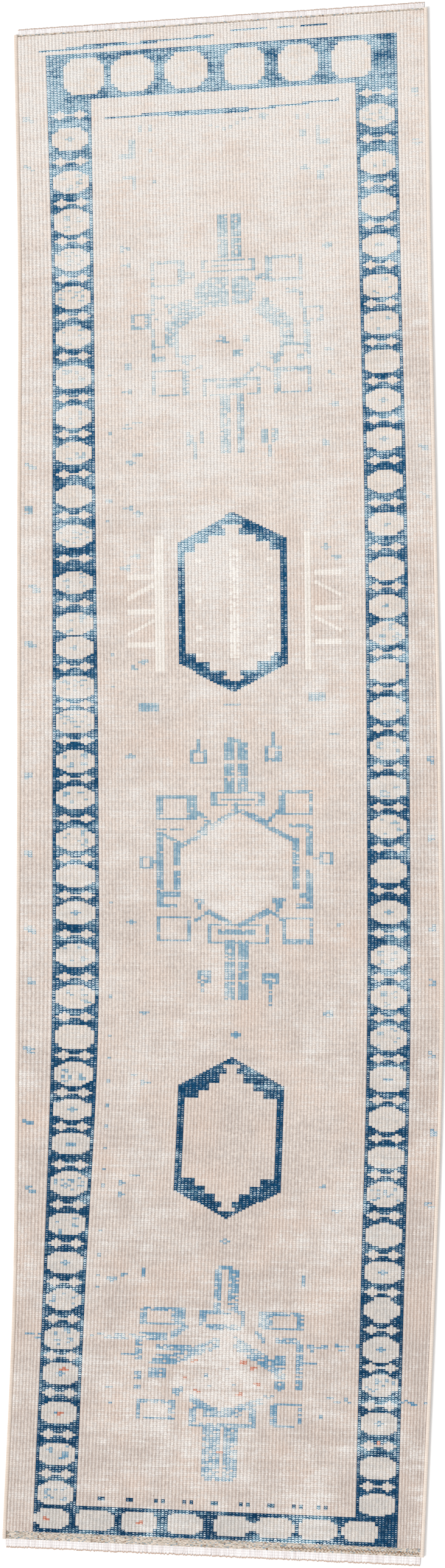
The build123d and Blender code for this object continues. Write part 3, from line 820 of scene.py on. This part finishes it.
def slab(name, across_lines, along_lines, low, high, layers=None):
    """A closed flat strip on the loom, with its own height at each point of its top."""
    columns, rows = len(across_lines), len(along_lines)
    x, y = plan(across_lines[None, :], along_lines[:, None])
    low, high = (np.broadcast_to(level, x.shape) for level in (low, high))
    points = np.concatenate([np.stack([x, y, z], -1).reshape(-1, 3) for z in (high, low)])
    top = np.arange(rows * columns).reshape(rows, columns)
    under = top + rows * columns
    quads = [
        np.stack([top[:-1, :-1], top[:-1, 1:], top[1:, 1:], top[1:, :-1]], -1).reshape(-1, 4),
        np.stack([under[:-1, :-1], under[1:, :-1], under[1:, 1:], under[:-1, 1:]], -1).reshape(-1, 4),
        np.stack([top[:-1, 0], top[1:, 0], under[1:, 0], under[:-1, 0]], -1),
        np.stack([top[1:, -1], top[:-1, -1], under[:-1, -1], under[1:, -1]], -1),
        np.stack([under[0, :-1], under[0, 1:], top[0, 1:], top[0, :-1]], -1),
        np.stack([under[-1, 1:], under[-1, :-1], top[-1, :-1], top[-1, 1:]], -1),
    ]
    faces = np.concatenate(quads)
    smooth = np.arange(len(faces)) < 2 * len(quads[0])
    values = {}
    for layer, grid in (layers or {}).items():
        flat = grid.reshape(-1, *grid.shape[2:])
        walls = np.repeat(flat[:1], len(faces) - 2 * len(flat), 0)
        values[layer] = np.concatenate([flat, flat, walls])
    uv = np.stack(np.meshgrid(across_lines / KNOT + COLUMNS / 2, along_lines / MAP_ROW), -1).reshape(-1, 2)
    sizes = np.full(len(faces), 4)
    return mesh_piece(name, points, faces.ravel(), sizes, smooth, values, np.concatenate([uv, uv]))


# ---- Colours and materials ----

def srgb(value):
    """Linear colour from an sRGB hex value."""
    parts = [int(value[i:i + 2], 16) / 255 for i in (1, 3, 5)]
    return (*[p / 12.92 if p <= 0.04045 else ((p + 0.055) / 1.055) ** 2.4 for p in parts], 1.0)


def add(tree, kind, inputs=None, **settings):
    """Add a shader node with its settings, its values and its links."""
    made = tree.nodes.new(f"ShaderNode{kind}")
    for name, value in settings.items():
        setattr(made, name, value)
    for socket, source in (inputs or {}).items():
        if isinstance(source, bpy.types.NodeSocket):
            tree.links.new(source, made.inputs[socket])
        else:
            made.inputs[socket].default_value = source
    return made


WEAK_GLOSS = 0.12
SHEEN_ROUGHNESS = 0.5


def new_material(name, roughness, sheen):
    """A matt material with a weak gloss, and its constant values on the shader's own sockets."""
    material = bpy.data.materials.new(name)
    material.use_nodes = True
    shader = material.node_tree.nodes["Principled BSDF"]
    shader.inputs["Roughness"].default_value = roughness
    shader.inputs["Specular IOR Level"].default_value = WEAK_GLOSS
    shader.inputs["Sheen Weight"].default_value = sheen
    shader.inputs["Sheen Roughness"].default_value = SHEEN_ROUGHNESS
    return material, material.node_tree, shader


def pile_wool(name, deep, light, worn, groove, cotton, dashes, crest, specks, blush=None):
    """Cut wool pile, knotted on cotton. Each column of knots is a rounded rib, and each row bends
    over it in an arch. Where it is worn, the yarn is paler and dashes of white cotton show."""
    material, tree, shader = new_material(name, 0.95, 0.06)
    loom = add(tree, "UVMap", uv_map="loom").outputs[0]
    object_place = add(tree, "TexCoord").outputs["Object"]
    # Bends the edges of the knots, by up to a tenth of a rib across and a quarter of a row along
    shift = add(tree, "TexNoise", {0: object_place, "Scale": 140.0, "Detail": 2.0}).outputs["Color"]
    shift = add(tree, "VectorMath", {0: shift, 1: (0.5, 0.5, 0.5)}, operation="SUBTRACT").outputs[0]
    place = add(tree, "VectorMath", {0: shift, 1: (0.45, 0.9, 0.0), 2: loom}, operation="MULTIPLY_ADD")
    place = add(tree, "SeparateXYZ", {0: place.outputs[0]})
    u, v = place.outputs[0], place.outputs[1]
    wear = add(tree, "Attribute", attribute_name="wear").outputs["Fac"]
    tone = add(tree, "Attribute", attribute_name="tone").outputs["Fac"]
    rib = add(tree, "Math", {0: u, 1: 0.5}, operation="PINGPONG").outputs[0]
    bent = add(tree, "Math", {0: rib, 1: -0.9, 2: v}, operation="MULTIPLY_ADD").outputs[0]
    row = add(tree, "Math", {0: bent, 1: 0.5}, operation="PINGPONG").outputs[0]
    knot = add(tree, "CombineXYZ", {0: u, 1: bent}).outputs[0]
    knot = add(tree, "VectorMath", {0: knot}, operation="FLOOR").outputs[0]
    chance = add(tree, "TexWhiteNoise", {"Vector": knot}, noise_dimensions="3D")
    shade, fray = chance.outputs["Value"], chance.outputs["Color"]
    fray = add(tree, "SeparateColor", {0: fray}).outputs[1]
    # Fibre ends, drawn coarser than real ones to show: spots 1.4 mm along the rib and 0.9 mm across
    stretched = add(tree, "Mapping", {0: object_place, "Scale": (1.6, 1.0, 1.0)}).outputs[0]
    fibre = add(tree, "TexNoise", {0: stretched, "Scale": 700.0, "Detail": 2.0}).outputs[0]
    mottle = add(tree, "TexNoise", {0: object_place, "Scale": 160.0, "Detail": 3.0}).outputs[0]

    # Yarn colour: light or deep by batch, then paler by wear
    batch = add(tree, "Math", {0: mottle, 1: 0.5, 2: -0.5}, operation="MULTIPLY_ADD").outputs[0]
    batch = add(tree, "Math", {0: shade, 1: 0.5, 2: batch}, operation="MULTIPLY_ADD").outputs[0]
    batch = add(tree, "Math", {0: tone, 1: batch}, use_clamp=True).outputs[0]
    yarn = add(tree, "Mix", {"Factor": batch, 6: srgb(light), 7: srgb(deep)}, data_type="RGBA")
    if blush:
        # Patches a hand wide where the old dye has gone pinkish
        patches = add(tree, "TexNoise", {0: object_place, "Scale": 9.0, "Detail": 4.0}).outputs[0]
        pinkish = add(tree, "MapRange", {0: patches, 1: 0.46, 2: 0.74, 3: 0.0, 4: 0.6}).outputs[0]
        sources = {"Factor": pinkish, 6: yarn.outputs[2], 7: srgb(blush)}
        yarn = add(tree, "Mix", sources, data_type="RGBA")
    rough_wear = add(tree, "Math", {0: shade, 1: 0.75, 2: wear}, operation="MULTIPLY_ADD").outputs[0]
    faded = add(tree, "MapRange", {0: rough_wear, 1: 0.6, 2: 1.5, 3: 0.0, 4: 1.0}).outputs[0]
    yarn = add(tree, "Mix", {"Factor": faded, 6: yarn.outputs[2], 7: srgb(worn)}, data_type="RGBA")

    # Painted shade between the ribs and between the rows: the yarn is mixed towards the darker groove
    # colour
    valley = add(tree, "MapRange", {0: rib, 1: 0.03, 2: 0.26, 3: 0.6, 4: 0.0}).outputs[0]
    gap = add(tree, "MapRange", {0: row, 1: 0.3, 2: 0.48, 3: 0.0, 4: 0.9}).outputs[0]
    shadow = add(tree, "Math", {0: valley, 1: gap}, operation="MAXIMUM").outputs[0]
    shadow = add(tree, "Math", {0: shadow, 1: mottle}, operation="MULTIPLY").outputs[0]
    yarn = add(tree, "Mix", {"Factor": shadow, 6: yarn.outputs[2], 7: srgb(groove)}, data_type="RGBA")

    # Painted highlight: the crest of each rib is drawn paler, mixed towards the cotton colour
    crest_highlight = add(tree, "MapRange", {0: rib, 1: 0.24, 2: 0.46, 3: 0.0, 4: crest}).outputs[0]
    yarn = add(tree, "Mix", {"Factor": crest_highlight, 6: yarn.outputs[2], 7: srgb(cotton)}, data_type="RGBA")

    # A dash of cotton across each rib between two rows, bigger and whiter where it is worn
    ridge = add(tree, "MapRange", {0: rib, 1: 0.0, 2: 0.3, 3: 0.3, 4: 1.0}).outputs[0]
    between = add(tree, "MapRange", {0: row, 1: 0.0, 2: 0.4, 3: 1.0, 4: 0.0}).outputs[0]
    dash = add(tree, "Math", {0: ridge, 1: between}, operation="MULTIPLY").outputs[0]
    bare = add(tree, "Math", {0: fray, 1: 0.8, 2: wear}, operation="MULTIPLY_ADD").outputs[0]
    edge = add(tree, "MapRange", {0: bare, 1: 0.15, 2: 1.4, 3: 0.95, 4: 0.2}).outputs[0]
    inner = add(tree, "Math", {0: edge, 1: 0.15}).outputs[0]
    white = add(tree, "MapRange", {0: bare, 1: 0.1, 2: 0.9, 3: 0.45 * dashes, 4: dashes}).outputs[0]
    dash = add(tree, "MapRange", {0: dash, 1: edge, 2: inner, 3: 0.0, 4: white}).outputs[0]
    yarn = add(tree, "Mix", {"Factor": dash, 6: yarn.outputs[2], 7: srgb(cotton)}, data_type="RGBA")

    # A few brown fibres, and the light and dark of single fibre ends
    brown = add(tree, "MapRange", {0: fray, 1: 1.0 - specks, 2: 1.0, 3: 0.0, 4: 0.7}).outputs[0]
    brown = add(tree, "Math", {0: brown, 1: valley}, operation="MULTIPLY").outputs[0]
    yarn = add(tree, "Mix", {"Factor": brown, 6: yarn.outputs[2], 7: srgb("#7A5B49")}, data_type="RGBA")
    value = add(tree, "MapRange", {0: fibre, 1: 0.3, 2: 0.7, 3: 0.8, 4: 1.17}).outputs[0]
    yarn = add(tree, "HueSaturation", {"Value": value, "Color": yarn.outputs[2]})
    tree.links.new(yarn.outputs[0], shader.inputs["Base Color"])

    # Height: the rib's crown, the step between rows, and fibres
    crown = add(tree, "Math", {0: rib, 1: 0.8, 2: fibre}, operation="MULTIPLY_ADD").outputs[0]
    crown = add(tree, "Math", {0: row, 1: 0.9, 2: crown}, operation="MULTIPLY_ADD").outputs[0]
    bump = add(tree, "Bump", {"Height": crown, "Strength": 0.6, "Distance": 0.0007})
    tree.links.new(bump.outputs[0], shader.inputs["Normal"])
    return material


def spun_yarn(name, light, deep, ply, tip=None):
    """Yarn or cord of twisted fibres: fine slanting lines of painted shade one ply apart, uneven in colour.
    """
    material, tree, shader = new_material(name, 0.9, 0.1)
    loom = add(tree, "UVMap", uv_map="loom")
    place = add(tree, "SeparateXYZ", {0: loom.outputs[0]})
    tone = add(tree, "Attribute", attribute_name="tone").outputs["Fac"]
    along = add(tree, "Math", {0: place.outputs[1], 1: 1 / ply}, operation="MULTIPLY").outputs[0]
    strand = add(tree, "Math", {0: place.outputs[0], 1: along})
    strand = add(tree, "Math", {0: strand.outputs[0], 1: 0.5}, operation="PINGPONG").outputs[0]
    object_place = add(tree, "TexCoord").outputs["Object"]
    fibre = add(tree, "TexNoise", {0: object_place, "Scale": 900.0, "Detail": 2.0}).outputs[0]
    uneven = add(tree, "TexNoise", {0: object_place, "Scale": 45.0, "Detail": 3.0}).outputs[0]
    share = add(tree, "Math", {0: uneven, 1: tone}).outputs[0]
    share = add(tree, "MapRange", {0: share, 1: 0.4, 2: 1.6, 3: 0.0, 4: 1.0}).outputs[0]
    yarn = add(tree, "Mix", {"Factor": share, 6: srgb(light), 7: srgb(deep)}, data_type="RGBA")
    if tip:
        # The last fifth of each cut end is drawn tan, for the thin tan line along the fringe's tips
        along_end = place.outputs[1]
        tan_tip = add(tree, "MapRange", {0: along_end, 1: 0.8, 2: 0.93, 3: 0.0, 4: 1.0}).outputs[0]
        yarn = add(tree, "Mix", {"Factor": tan_tip, 6: yarn.outputs[2], 7: srgb(tip)}, data_type="RGBA")
    # Painted shade: each line between two plies is drawn a fifth darker
    line = add(tree, "MapRange", {0: strand, 1: 0.0, 2: 0.2, 3: 0.8, 4: 1.0}).outputs[0]
    value = add(tree, "MapRange", {0: fibre, 1: 0.3, 2: 0.7, 3: 0.88, 4: 1.1}).outputs[0]
    value = add(tree, "Math", {0: value, 1: line}, operation="MULTIPLY").outputs[0]
    yarn = add(tree, "HueSaturation", {"Value": value, "Color": yarn.outputs[2]})
    tree.links.new(yarn.outputs[0], shader.inputs["Base Color"])
    height = add(tree, "Math", {0: strand, 1: fibre}).outputs[0]
    bump = add(tree, "Bump", {"Height": height, "Strength": 0.5, "Distance": 0.0004})
    tree.links.new(bump.outputs[0], shader.inputs["Normal"])
    return material


def knotted_collars(name):
    """The back: two collars of wool to a knot, hard and flat, with grey-white cotton weft between
    the rows and a dark line of painted shade in the crease beside each collar."""
    material, tree, shader = new_material(name, 0.92, 0.1)
    loom = add(tree, "UVMap", uv_map="loom")
    place = add(tree, "SeparateXYZ", {0: loom.outputs[0]})
    dye = add(tree, "Attribute", attribute_name="dye").outputs["Color"]
    double = add(tree, "Math", {0: place.outputs[0], 1: 2.0}, operation="MULTIPLY").outputs[0]
    collar = add(tree, "Math", {0: double, 1: 0.5}, operation="PINGPONG").outputs[0]
    row = add(tree, "Math", {0: place.outputs[1], 1: 0.5}, operation="PINGPONG").outputs[0]
    weft = add(tree, "MapRange", {0: row, 1: 0.06, 2: 0.16, 3: 0.6, 4: 0.0}).outputs[0]
    # Painted shade: a dark line where two collars meet, in the crease between them
    crease_shade = add(tree, "MapRange", {0: collar, 1: 0.0, 2: 0.14, 3: 0.5, 4: 0.0}).outputs[0]
    yarn = add(tree, "Mix", {"Factor": weft, 6: dye, 7: srgb("#D9D3CB")}, data_type="RGBA")
    yarn = add(tree, "Mix", {"Factor": crease_shade, 6: yarn.outputs[2], 7: srgb("#8A7767")}, data_type="RGBA")
    tree.links.new(yarn.outputs[2], shader.inputs["Base Color"])
    height = add(tree, "Math", {0: collar, 1: row}).outputs[0]
    bump = add(tree, "Bump", {"Height": height, "Strength": 0.7, "Distance": 0.0006})
    tree.links.new(bump.outputs[0], shader.inputs["Normal"])
    return material


def woven_web(name):
    """Plain weave of leftover grey, beige and blue yarns, beaten close: short dashes of each."""
    material, tree, shader = new_material(name, 0.92, 0.1)
    loom = add(tree, "UVMap", uv_map="loom")
    # A dash is 3.2 mm long and 1.1 mm high
    dash = add(tree, "Mapping", {0: loom.outputs[0], "Scale": (2.0, 3.0, 1.0)}).outputs[0]
    cell = add(tree, "VectorMath", {0: dash}, operation="FLOOR").outputs[0]
    chance = add(tree, "TexWhiteNoise", {"Vector": cell}, noise_dimensions="3D").outputs["Value"]
    ramp = add(tree, "ValToRGB", {0: chance})
    ramp.color_ramp.interpolation = "CONSTANT"
    ramp.color_ramp.elements[0].color = srgb("#D9CCBF")
    ramp.color_ramp.elements[1].color = srgb("#BCAE9F")
    ramp.color_ramp.elements[1].position = 0.45
    for position, colour in ((0.7, "#A9A69C"), (0.84, "#7F97A6"), (0.93, "#8E705A")):
        ramp.color_ramp.elements.new(position).color = srgb(colour)
    object_place = add(tree, "TexCoord").outputs["Object"]
    fibre = add(tree, "TexNoise", {0: object_place, "Scale": 900.0, "Detail": 2.0}).outputs[0]
    value = add(tree, "MapRange", {0: fibre, 1: 0.3, 2: 0.7, 3: 0.8, 4: 1.12}).outputs[0]
    yarn = add(tree, "HueSaturation", {"Value": value, "Color": ramp.outputs[0]})
    tree.links.new(yarn.outputs[0], shader.inputs["Base Color"])
    bump = add(tree, "Bump", {"Height": fibre, "Strength": 0.5, "Distance": 0.0005})
    tree.links.new(bump.outputs[0], shader.inputs["Normal"])
    return material


# Cut wool seen from above is matt and deep. Worn wool is paler, with more white cotton in it
CAMEL = pile_wool("camel_wool_pile", deep="#B9ABA3", light="#E1D6CD", worn="#DDD9D5", groove="#A9958A",
                  cotton="#FBF6F0", dashes=0.3, crest=0.3, specks=0.06, blush="#DBC3B3")
CREAM = pile_wool("cream_wool_pile", deep="#B8B4B0", light="#E1D3C7", worn="#DDD9D5", groove="#A89D95",
                  cotton="#F9F7F3", dashes=0.3, crest=0.3, specks=0.03)
IVORY = pile_wool("ivory_wool_pile", deep="#DAD2C9", light="#E7E0D8", worn="#E8E3DD", groove="#C2B4A9",
                  cotton="#FCF9F5", dashes=0.4, crest=0.4, specks=0.01)
INDIGO = pile_wool("indigo_wool_pile", deep="#003253", light="#12557E", worn="#6F9DB2", groove="#001E36",
                   cotton="#E3EFF4", dashes=1.0, crest=0.0, specks=0.0)
PALE_BLUE = pile_wool("pale_blue_wool_pile", deep="#3F7DA3", light="#9DB6BE", worn="#C9D1D1",
                      groove="#5E8194", cotton="#F3EFEA", dashes=0.8, crest=0.1, specks=0.01)
RUST = pile_wool("rust_wool_pile", deep="#BC6A52", light="#C9806A", worn="#D8AC9A", groove="#9C5A45",
                 cotton="#F3EAE2", dashes=0.6, crest=0.1, specks=0.0)

MATERIALS = {
    "camel_wool": CAMEL,
    "cream_wool": CREAM,
    "ivory_wool": IVORY,
    "indigo_wool": INDIGO,
    "pale_blue_wool": PALE_BLUE,
    "rust_wool": RUST,
    "tan_wool": spun_yarn("tan_wool_yarn", "#B98E63", "#8F6440", 1.5),
    "selvedge_wool": spun_yarn("beige_wool_wrapping", "#EADED3", "#D6C5B7", WRAP_PITCH),
    "cotton_warp": spun_yarn("cotton_warp_cord", "#E9E5DE", "#D6D0C6", 1.8),
    "cotton_weft": spun_yarn("cotton_weft_cord", "#E4DFD7", "#CFC8BD", 1.8),
    "cotton_core": spun_yarn("cotton_core_cord", "#E6E1D9", "#D0C9BE", 2.4),
    "cotton_fringe": spun_yarn("cut_cotton_warp", "#F5F2F2", "#E0D8D6", 0.3, tip="#C4A894"),
    "end_web": woven_web("mixed_yarn_web"),
    "knotted_back": knotted_collars("knotted_wool_back"),
}


# ---- Putting the pieces in ----

LOWER, UPPER = "lower_half", "upper_half"


def place(piece, slot, *nodes):
    """Give a piece its material, hide the CAD nodes it stands for, and tie it to the half it lies in.
    A piece that crosses the fold stays free, with its place baked into its points.
    """
    piece.data.materials.append(MATERIALS[slot])
    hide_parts(*nodes)
    heights = [vertex.co.y for vertex in piece.data.vertices]
    reach = FOLD_REACH * MM
    if min(heights) > reach:
        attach(piece, UPPER)
    elif max(heights) < -reach:
        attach(piece, LOWER)
    else:
        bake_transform(piece)
    return piece


def both(name):
    """The two nodes of a CAD piece that is cut at the fold."""
    return [f"{name}_lower", f"{name}_upper"]


PILE_PIECES = {
    "field_low": ("camel_wool", ["field_lower"]),
    "field_below_middle": ("camel_wool", ["field_lower"]),
    "field_above_middle": ("camel_wool", ["field_upper"]),
    "field_top": ("camel_wool", ["field_upper"]),
    "left_guard": ("camel_wool", both("left_guard")),
    "right_guard": ("camel_wool", both("right_guard")),
    "top_guard": ("camel_wool", ["top_guard"]),
    "left_border": ("indigo_wool", both("left_border")),
    "right_border": ("indigo_wool", both("right_border")),
    "top_border": ("indigo_wool", ["top_border"]),
    "low_border": ("indigo_wool", ["low_border"]),
    "left_border_octagons": ("cream_wool", both("left_border_octagons")),
    "right_border_octagons": ("cream_wool", both("right_border_octagons")),
    "top_border_octagons": ("cream_wool", ["top_border_octagons"]),
    "low_border_octagons": ("cream_wool", ["low_border_octagons"]),
    "border_bow_ties": ("cream_wool", both("border_bow_ties")),
    "top_pinstripe": ("indigo_wool", ["top_pinstripe"]),
    "field_pinstripe": ("indigo_wool", ["field_pinstripe"]),
    "upper_ring": ("indigo_wool", ["upper_ring"]),
    "lower_ring": ("indigo_wool", ["lower_ring"]),
    "ivory_frame": ("ivory_wool", ["ivory_frame"]),
    "top_medallion": ("pale_blue_wool", ["top_medallion"]),
    "middle_medallion": ("pale_blue_wool", both("middle_medallion")),
    "low_medallion": ("pale_blue_wool", ["low_medallion"]),
    "guard_marks": ("pale_blue_wool", both("guard_marks")),
    "field_marks": ("pale_blue_wool", both("field_marks")),
    "field_dots": ("indigo_wool", ["field_dots"]),
    "rust_marks": ("rust_wool", ["rust_marks"]),
}


def make_pile():
    """The pile, a block of knots for each piece."""
    for name, (slot, nodes) in PILE_PIECES.items():
        place(pile(name), slot, *nodes)


def fold_stations(low, high, step):
    """Places along the rug, closer together where it folds."""
    fine = np.arange(-4 * FOLD_REACH, 4 * FOLD_REACH + 1, FOLD_REACH / 3)
    below = np.linspace(low, fine[0], int((fine[0] - low) / step) + 1)
    above = np.linspace(fine[-1], high, int((high - fine[-1]) / step) + 1)
    return np.concatenate([below[:-1], fine, above[1:]])


# The back is drawn in fewer rows than the knots have
BACK_ROWS = 400
BACK_RELIEF = 0.12
BACK_SHADES = (0.9, 1.05)
# The colour each wool shows on the back
SLOT_DYES = {"camel_wool": "#CDBCAE", "cream_wool": "#D6C8BB", "ivory_wool": "#E2DACF",
             "indigo_wool": "#3F5F79", "pale_blue_wool": "#8FA5B0", "rust_wool": "#B0684F"}
# Warp cords: half the width and height of each, and how far apart its points are. Weft cords: half
# the width and height, how far apart they lie, how many points each has, and how short it stops
WARP_SIZE, WARP_STEP = (2.1, 0.55), 48.0
WEFT_SIZE, WEFT_SPACING, WEFT_POINTS, WEFT_SHORT = (1.8, 0.33), 20.0, 25, 1


def make_foundation():
    """The knotted back and the hidden cotton cords."""
    lines = np.linspace(LOW_PILE, TOP_PILE, BACK_ROWS + 1)
    nearest = np.searchsorted(ROW_LINES, (lines[1:] + lines[:-1]) / 2) - 1
    dyes = np.array([srgb(SLOT_DYES[PILE_PIECES[name][0]]) for name in owners])
    shade = rng.uniform(*BACK_SHADES, (BACK_ROWS, COLUMNS, 1))
    dye = dyes[owner[nearest]] * shade
    relief = np.tile((0.0, BACK_RELIEF), COLUMNS)[:COLUMNS + 1][None, :]
    back = slab("knotted_back", COLUMN_LINES, lines, BACK[0] + relief, BACK[1], {"dye": dye})
    place(back, "knotted_back", *both("knotted_back"))

    along = fold_stations(LOW_WEB, TOP_WEB, WARP_STEP)
    x, y = plan(ACROSS[0][:, None], along[None, :])
    routes = np.stack([x, y, np.full(x.shape, sum(WARP) / 2)], -1)
    place(cords("warp_cords", routes, *WARP_SIZE), "cotton_warp", *both("warp_cords"))

    along = np.arange(LOW_PILE + WEFT_SPACING / 2, TOP_PILE - WEFT_SPACING / 4, WEFT_SPACING)
    x, y = plan(np.linspace(-GUARD + WEFT_SHORT, GUARD - WEFT_SHORT, WEFT_POINTS)[None, :], along[:, None])
    routes = np.stack([x, y, np.full(x.shape, sum(WEFT) / 2)], -1)
    place(cords("weft_cords", routes, *WEFT_SIZE), "cotton_weft", *both("weft_cords"))
    return back


CORE_SIDES, CORE_STEP = 8, 24.0
# The wrapping: its sides, how far it sits towards the pile, how much thinner it is between two turns,
# how high a turn stands, and how uneven the turns are
WRAP_SIDES, WRAP_INWARD, WRAP_THINNER, WRAP_LIFT, WRAP_UNEVEN = 12, 0.5, 0.4, 0.35, 0.03


def make_selvedges():
    """On each side a cotton cord, closely wrapped with wool."""
    for name, side in (("left", -1), ("right", 1)):
        along = fold_stations(LOW_WEB, TOP_WEB, CORE_STEP)
        x, y = plan(side * SELVEDGE_ACROSS, along)
        core = np.stack([x, y, np.full(x.shape, WRAP_RADIUS)], -1)[None]
        place(cords(f"{name}_selvedge_core", core, CORE_RADIUS, CORE_RADIUS, CORE_SIDES),
              "cotton_core", *both(f"{name}_selvedge_core"))
        along = np.arange(LOW_WEB, TOP_WEB, WRAP_PITCH / 4)
        x, y = plan(side * (SELVEDGE_ACROSS - WRAP_INWARD), along)
        turn = np.arange(WRAP_SIDES) / WRAP_SIDES
        lift = np.abs(np.sin(math.pi * (along[:, None] / WRAP_PITCH + side * turn[None, :])))
        # Squarer than round, and full up to the pile beside it
        fullness = (np.cos(turn * math.tau) ** 6 + np.sin(turn * math.tau) ** 6) ** (-1 / 6)
        uneven = rng.normal(0, WRAP_UNEVEN, (len(along), 1))
        radius = (WRAP_RADIUS - WRAP_THINNER + WRAP_LIFT * lift + uneven) * fullness[None, :]
        route = np.stack([x, y, np.full(x.shape, WRAP_RADIUS)], -1)[None]
        place(cords(f"{name}_selvedge_wrapping", route, radius[None], radius[None], WRAP_SIDES),
              "selvedge_wool", *both(f"{name}_selvedge_wrapping"))


TUFTS_IN_COLUMN, TUFT_POINTS = 3, 5
# Each tuft's length in shares of the fringe, how far its tip leans, how far apart the waves of the
# fringe are, how far it is off its height, and how far its tip drops
TUFT_LENGTHS = (0.92, 1.04)
TUFT_LEAN = 0.5
FRINGE_WAVE = 37.0
TUFT_LIFT = 0.15
TIP_DROP = 0.4
# Half a tuft's width and height at shares of its length
TUFT_WIDTHS = ((0, 0.7, 1), (1.5, 1.6, 1.1))
TUFT_HEIGHTS = ((0, 1), (0.85, 0.45))


def tufts(name, root, tip, curl):
    """Cut warp ends: thin tapering tufts side by side, each with its own length and lean."""
    count = COLUMNS * TUFTS_IN_COLUMN
    across = (np.arange(count) + 0.5) / TUFTS_IN_COLUMN * KNOT - GUARD
    steps = np.linspace(0, 1, TUFT_POINTS)
    reach = (tip - root) * rng.uniform(*TUFT_LENGTHS, (count, 1))
    wave = curl * np.sin(across / FRINGE_WAVE)[:, None]
    lean = (rng.normal(0, TUFT_LEAN, (count, 1)) + wave) * steps ** 2
    x, y = plan(across[:, None] + lean, root + reach * steps[None, :])
    middle = sum(FRINGE) / 2
    z = middle + rng.uniform(-TUFT_LIFT, TUFT_LIFT, (count, 1)) - TIP_DROP * steps ** 2
    wide = np.interp(steps, *TUFT_WIDTHS)[None, :, None]
    high = np.interp(steps, *TUFT_HEIGHTS)[None, :, None]
    return cords(name, np.stack([x, y, np.broadcast_to(z, x.shape)], -1), wide, high, in_shares=True)


# Each web: its name, where it starts and ends along the rug, and how many rows of points it has
END_WEBS = (("top", TOP_PILE, TOP_WEB, 3), ("low", LOW_WEB, LOW_PILE, 9))
# The top of a web: how far its low points are below its full height, how much higher its high points
# are, and how uneven both are
WEB_DIP, WEB_CHECK, WEB_UNEVEN = 0.7, 0.6, 0.1
TOP_CURL, LOW_CURL = 0.4, 0.8
# The stitches: where they run across, how far they go up and down, how far below the middle of the
# web they are, and half their width and height
STITCHES_ACROSS = (118.0, 384.0)
ZIGZAG, ZIGZAG_BELOW, STITCH_SIZE = 2.2, 2, (0.55, 0.5)


def make_ends():
    """At each end a woven web and a short cut fringe, and a mended line of stitches at the low end."""
    across = np.linspace(-GUARD, GUARD, COLUMNS * 2 + 1)
    for name, start, end, rows in END_WEBS:
        along = np.linspace(start, end, rows)
        checks = (np.arange(len(across))[None, :] + np.arange(len(along))[:, None]) % 2
        uneven = rng.uniform(-WEB_UNEVEN, WEB_UNEVEN, checks.shape)
        height = WEB[1] - WEB_DIP + WEB_CHECK * checks + uneven
        place(slab(f"{name}_end_web", across, along, WEB[0], height), "end_web", f"{name}_end_web")
    place(tufts("top_fringe", TOP_WEB, TOP_TIP, TOP_CURL), "cotton_fringe", "top_fringe")
    place(tufts("low_fringe", LOW_WEB, LOW_TIP, LOW_CURL), "cotton_fringe", "low_fringe")
    zigzag = np.arange(*STITCHES_ACROSS, KNOT / 2)
    swing = ZIGZAG * np.tile((1, -1), len(zigzag))[:len(zigzag)]
    along = (LOW_WEB + LOW_PILE) / 2 - ZIGZAG_BELOW + swing
    x, y = plan(zigzag, along)
    route = np.stack([x, y, np.full(x.shape, STITCH_HEIGHT)], -1)[None]
    place(cords("low_end_stitching", route, *STITCH_SIZE), "tan_wool", "low_end_stitching")


make_pile()
knotted_back = make_foundation()
make_selvedges()
make_ends()


# ---- Floor, light and camera ----

# In metres: wide enough that its corners are out of sight from low down, and just under the rug
FLOOR_SIZE, FLOOR_HEIGHT = 90, -0.0005


def make_studio():
    """A wide pale floor just under the rug, soft light all round and one soft light from a side."""
    scene = bpy.context.scene
    bpy.ops.object.select_all(action="DESELECT")
    bpy.ops.mesh.primitive_plane_add(size=FLOOR_SIZE, location=(0, 0, FLOOR_HEIGHT))
    floor = bpy.context.object
    floor.name = "floor"
    material, _, shader = new_material("matt_white_floor", 0.9, 0.0)
    shader.inputs["Base Color"].default_value = srgb("#F8F8F8")
    floor.data.materials.append(material)
    world = bpy.data.worlds.new("soft_room")
    world.use_nodes = True
    world.node_tree.nodes["Background"].inputs[0].default_value = srgb("#FFFFFF")
    world.node_tree.nodes["Background"].inputs[1].default_value = 0.74
    scene.world = world
    lamp = bpy.data.lights.new("soft_side_light", "SUN")
    lamp.energy = 1.9
    lamp.angle = math.radians(25)
    light = bpy.data.objects.new("soft_side_light", lamp)
    light.rotation_euler = (math.radians(20), math.radians(-38), 0)
    scene.collection.objects.link(light)
    scene.view_settings.view_transform = "Standard"


def make_camera():
    """Straight down on the rug, its length up the frame."""
    lens, sensor, frame_height, aside = 85.0, 36.0, 2.9366, -0.0006
    camera = bpy.data.cameras.new("camera")
    camera.lens = lens
    camera.sensor_width = sensor
    camera.clip_end = 100
    holder = bpy.data.objects.new("camera", camera)
    holder.location = (aside, 0, PILE[1] * MM + frame_height * lens / sensor)
    bpy.context.scene.collection.objects.link(holder)
    bpy.context.scene.camera = holder


make_studio()
make_camera()
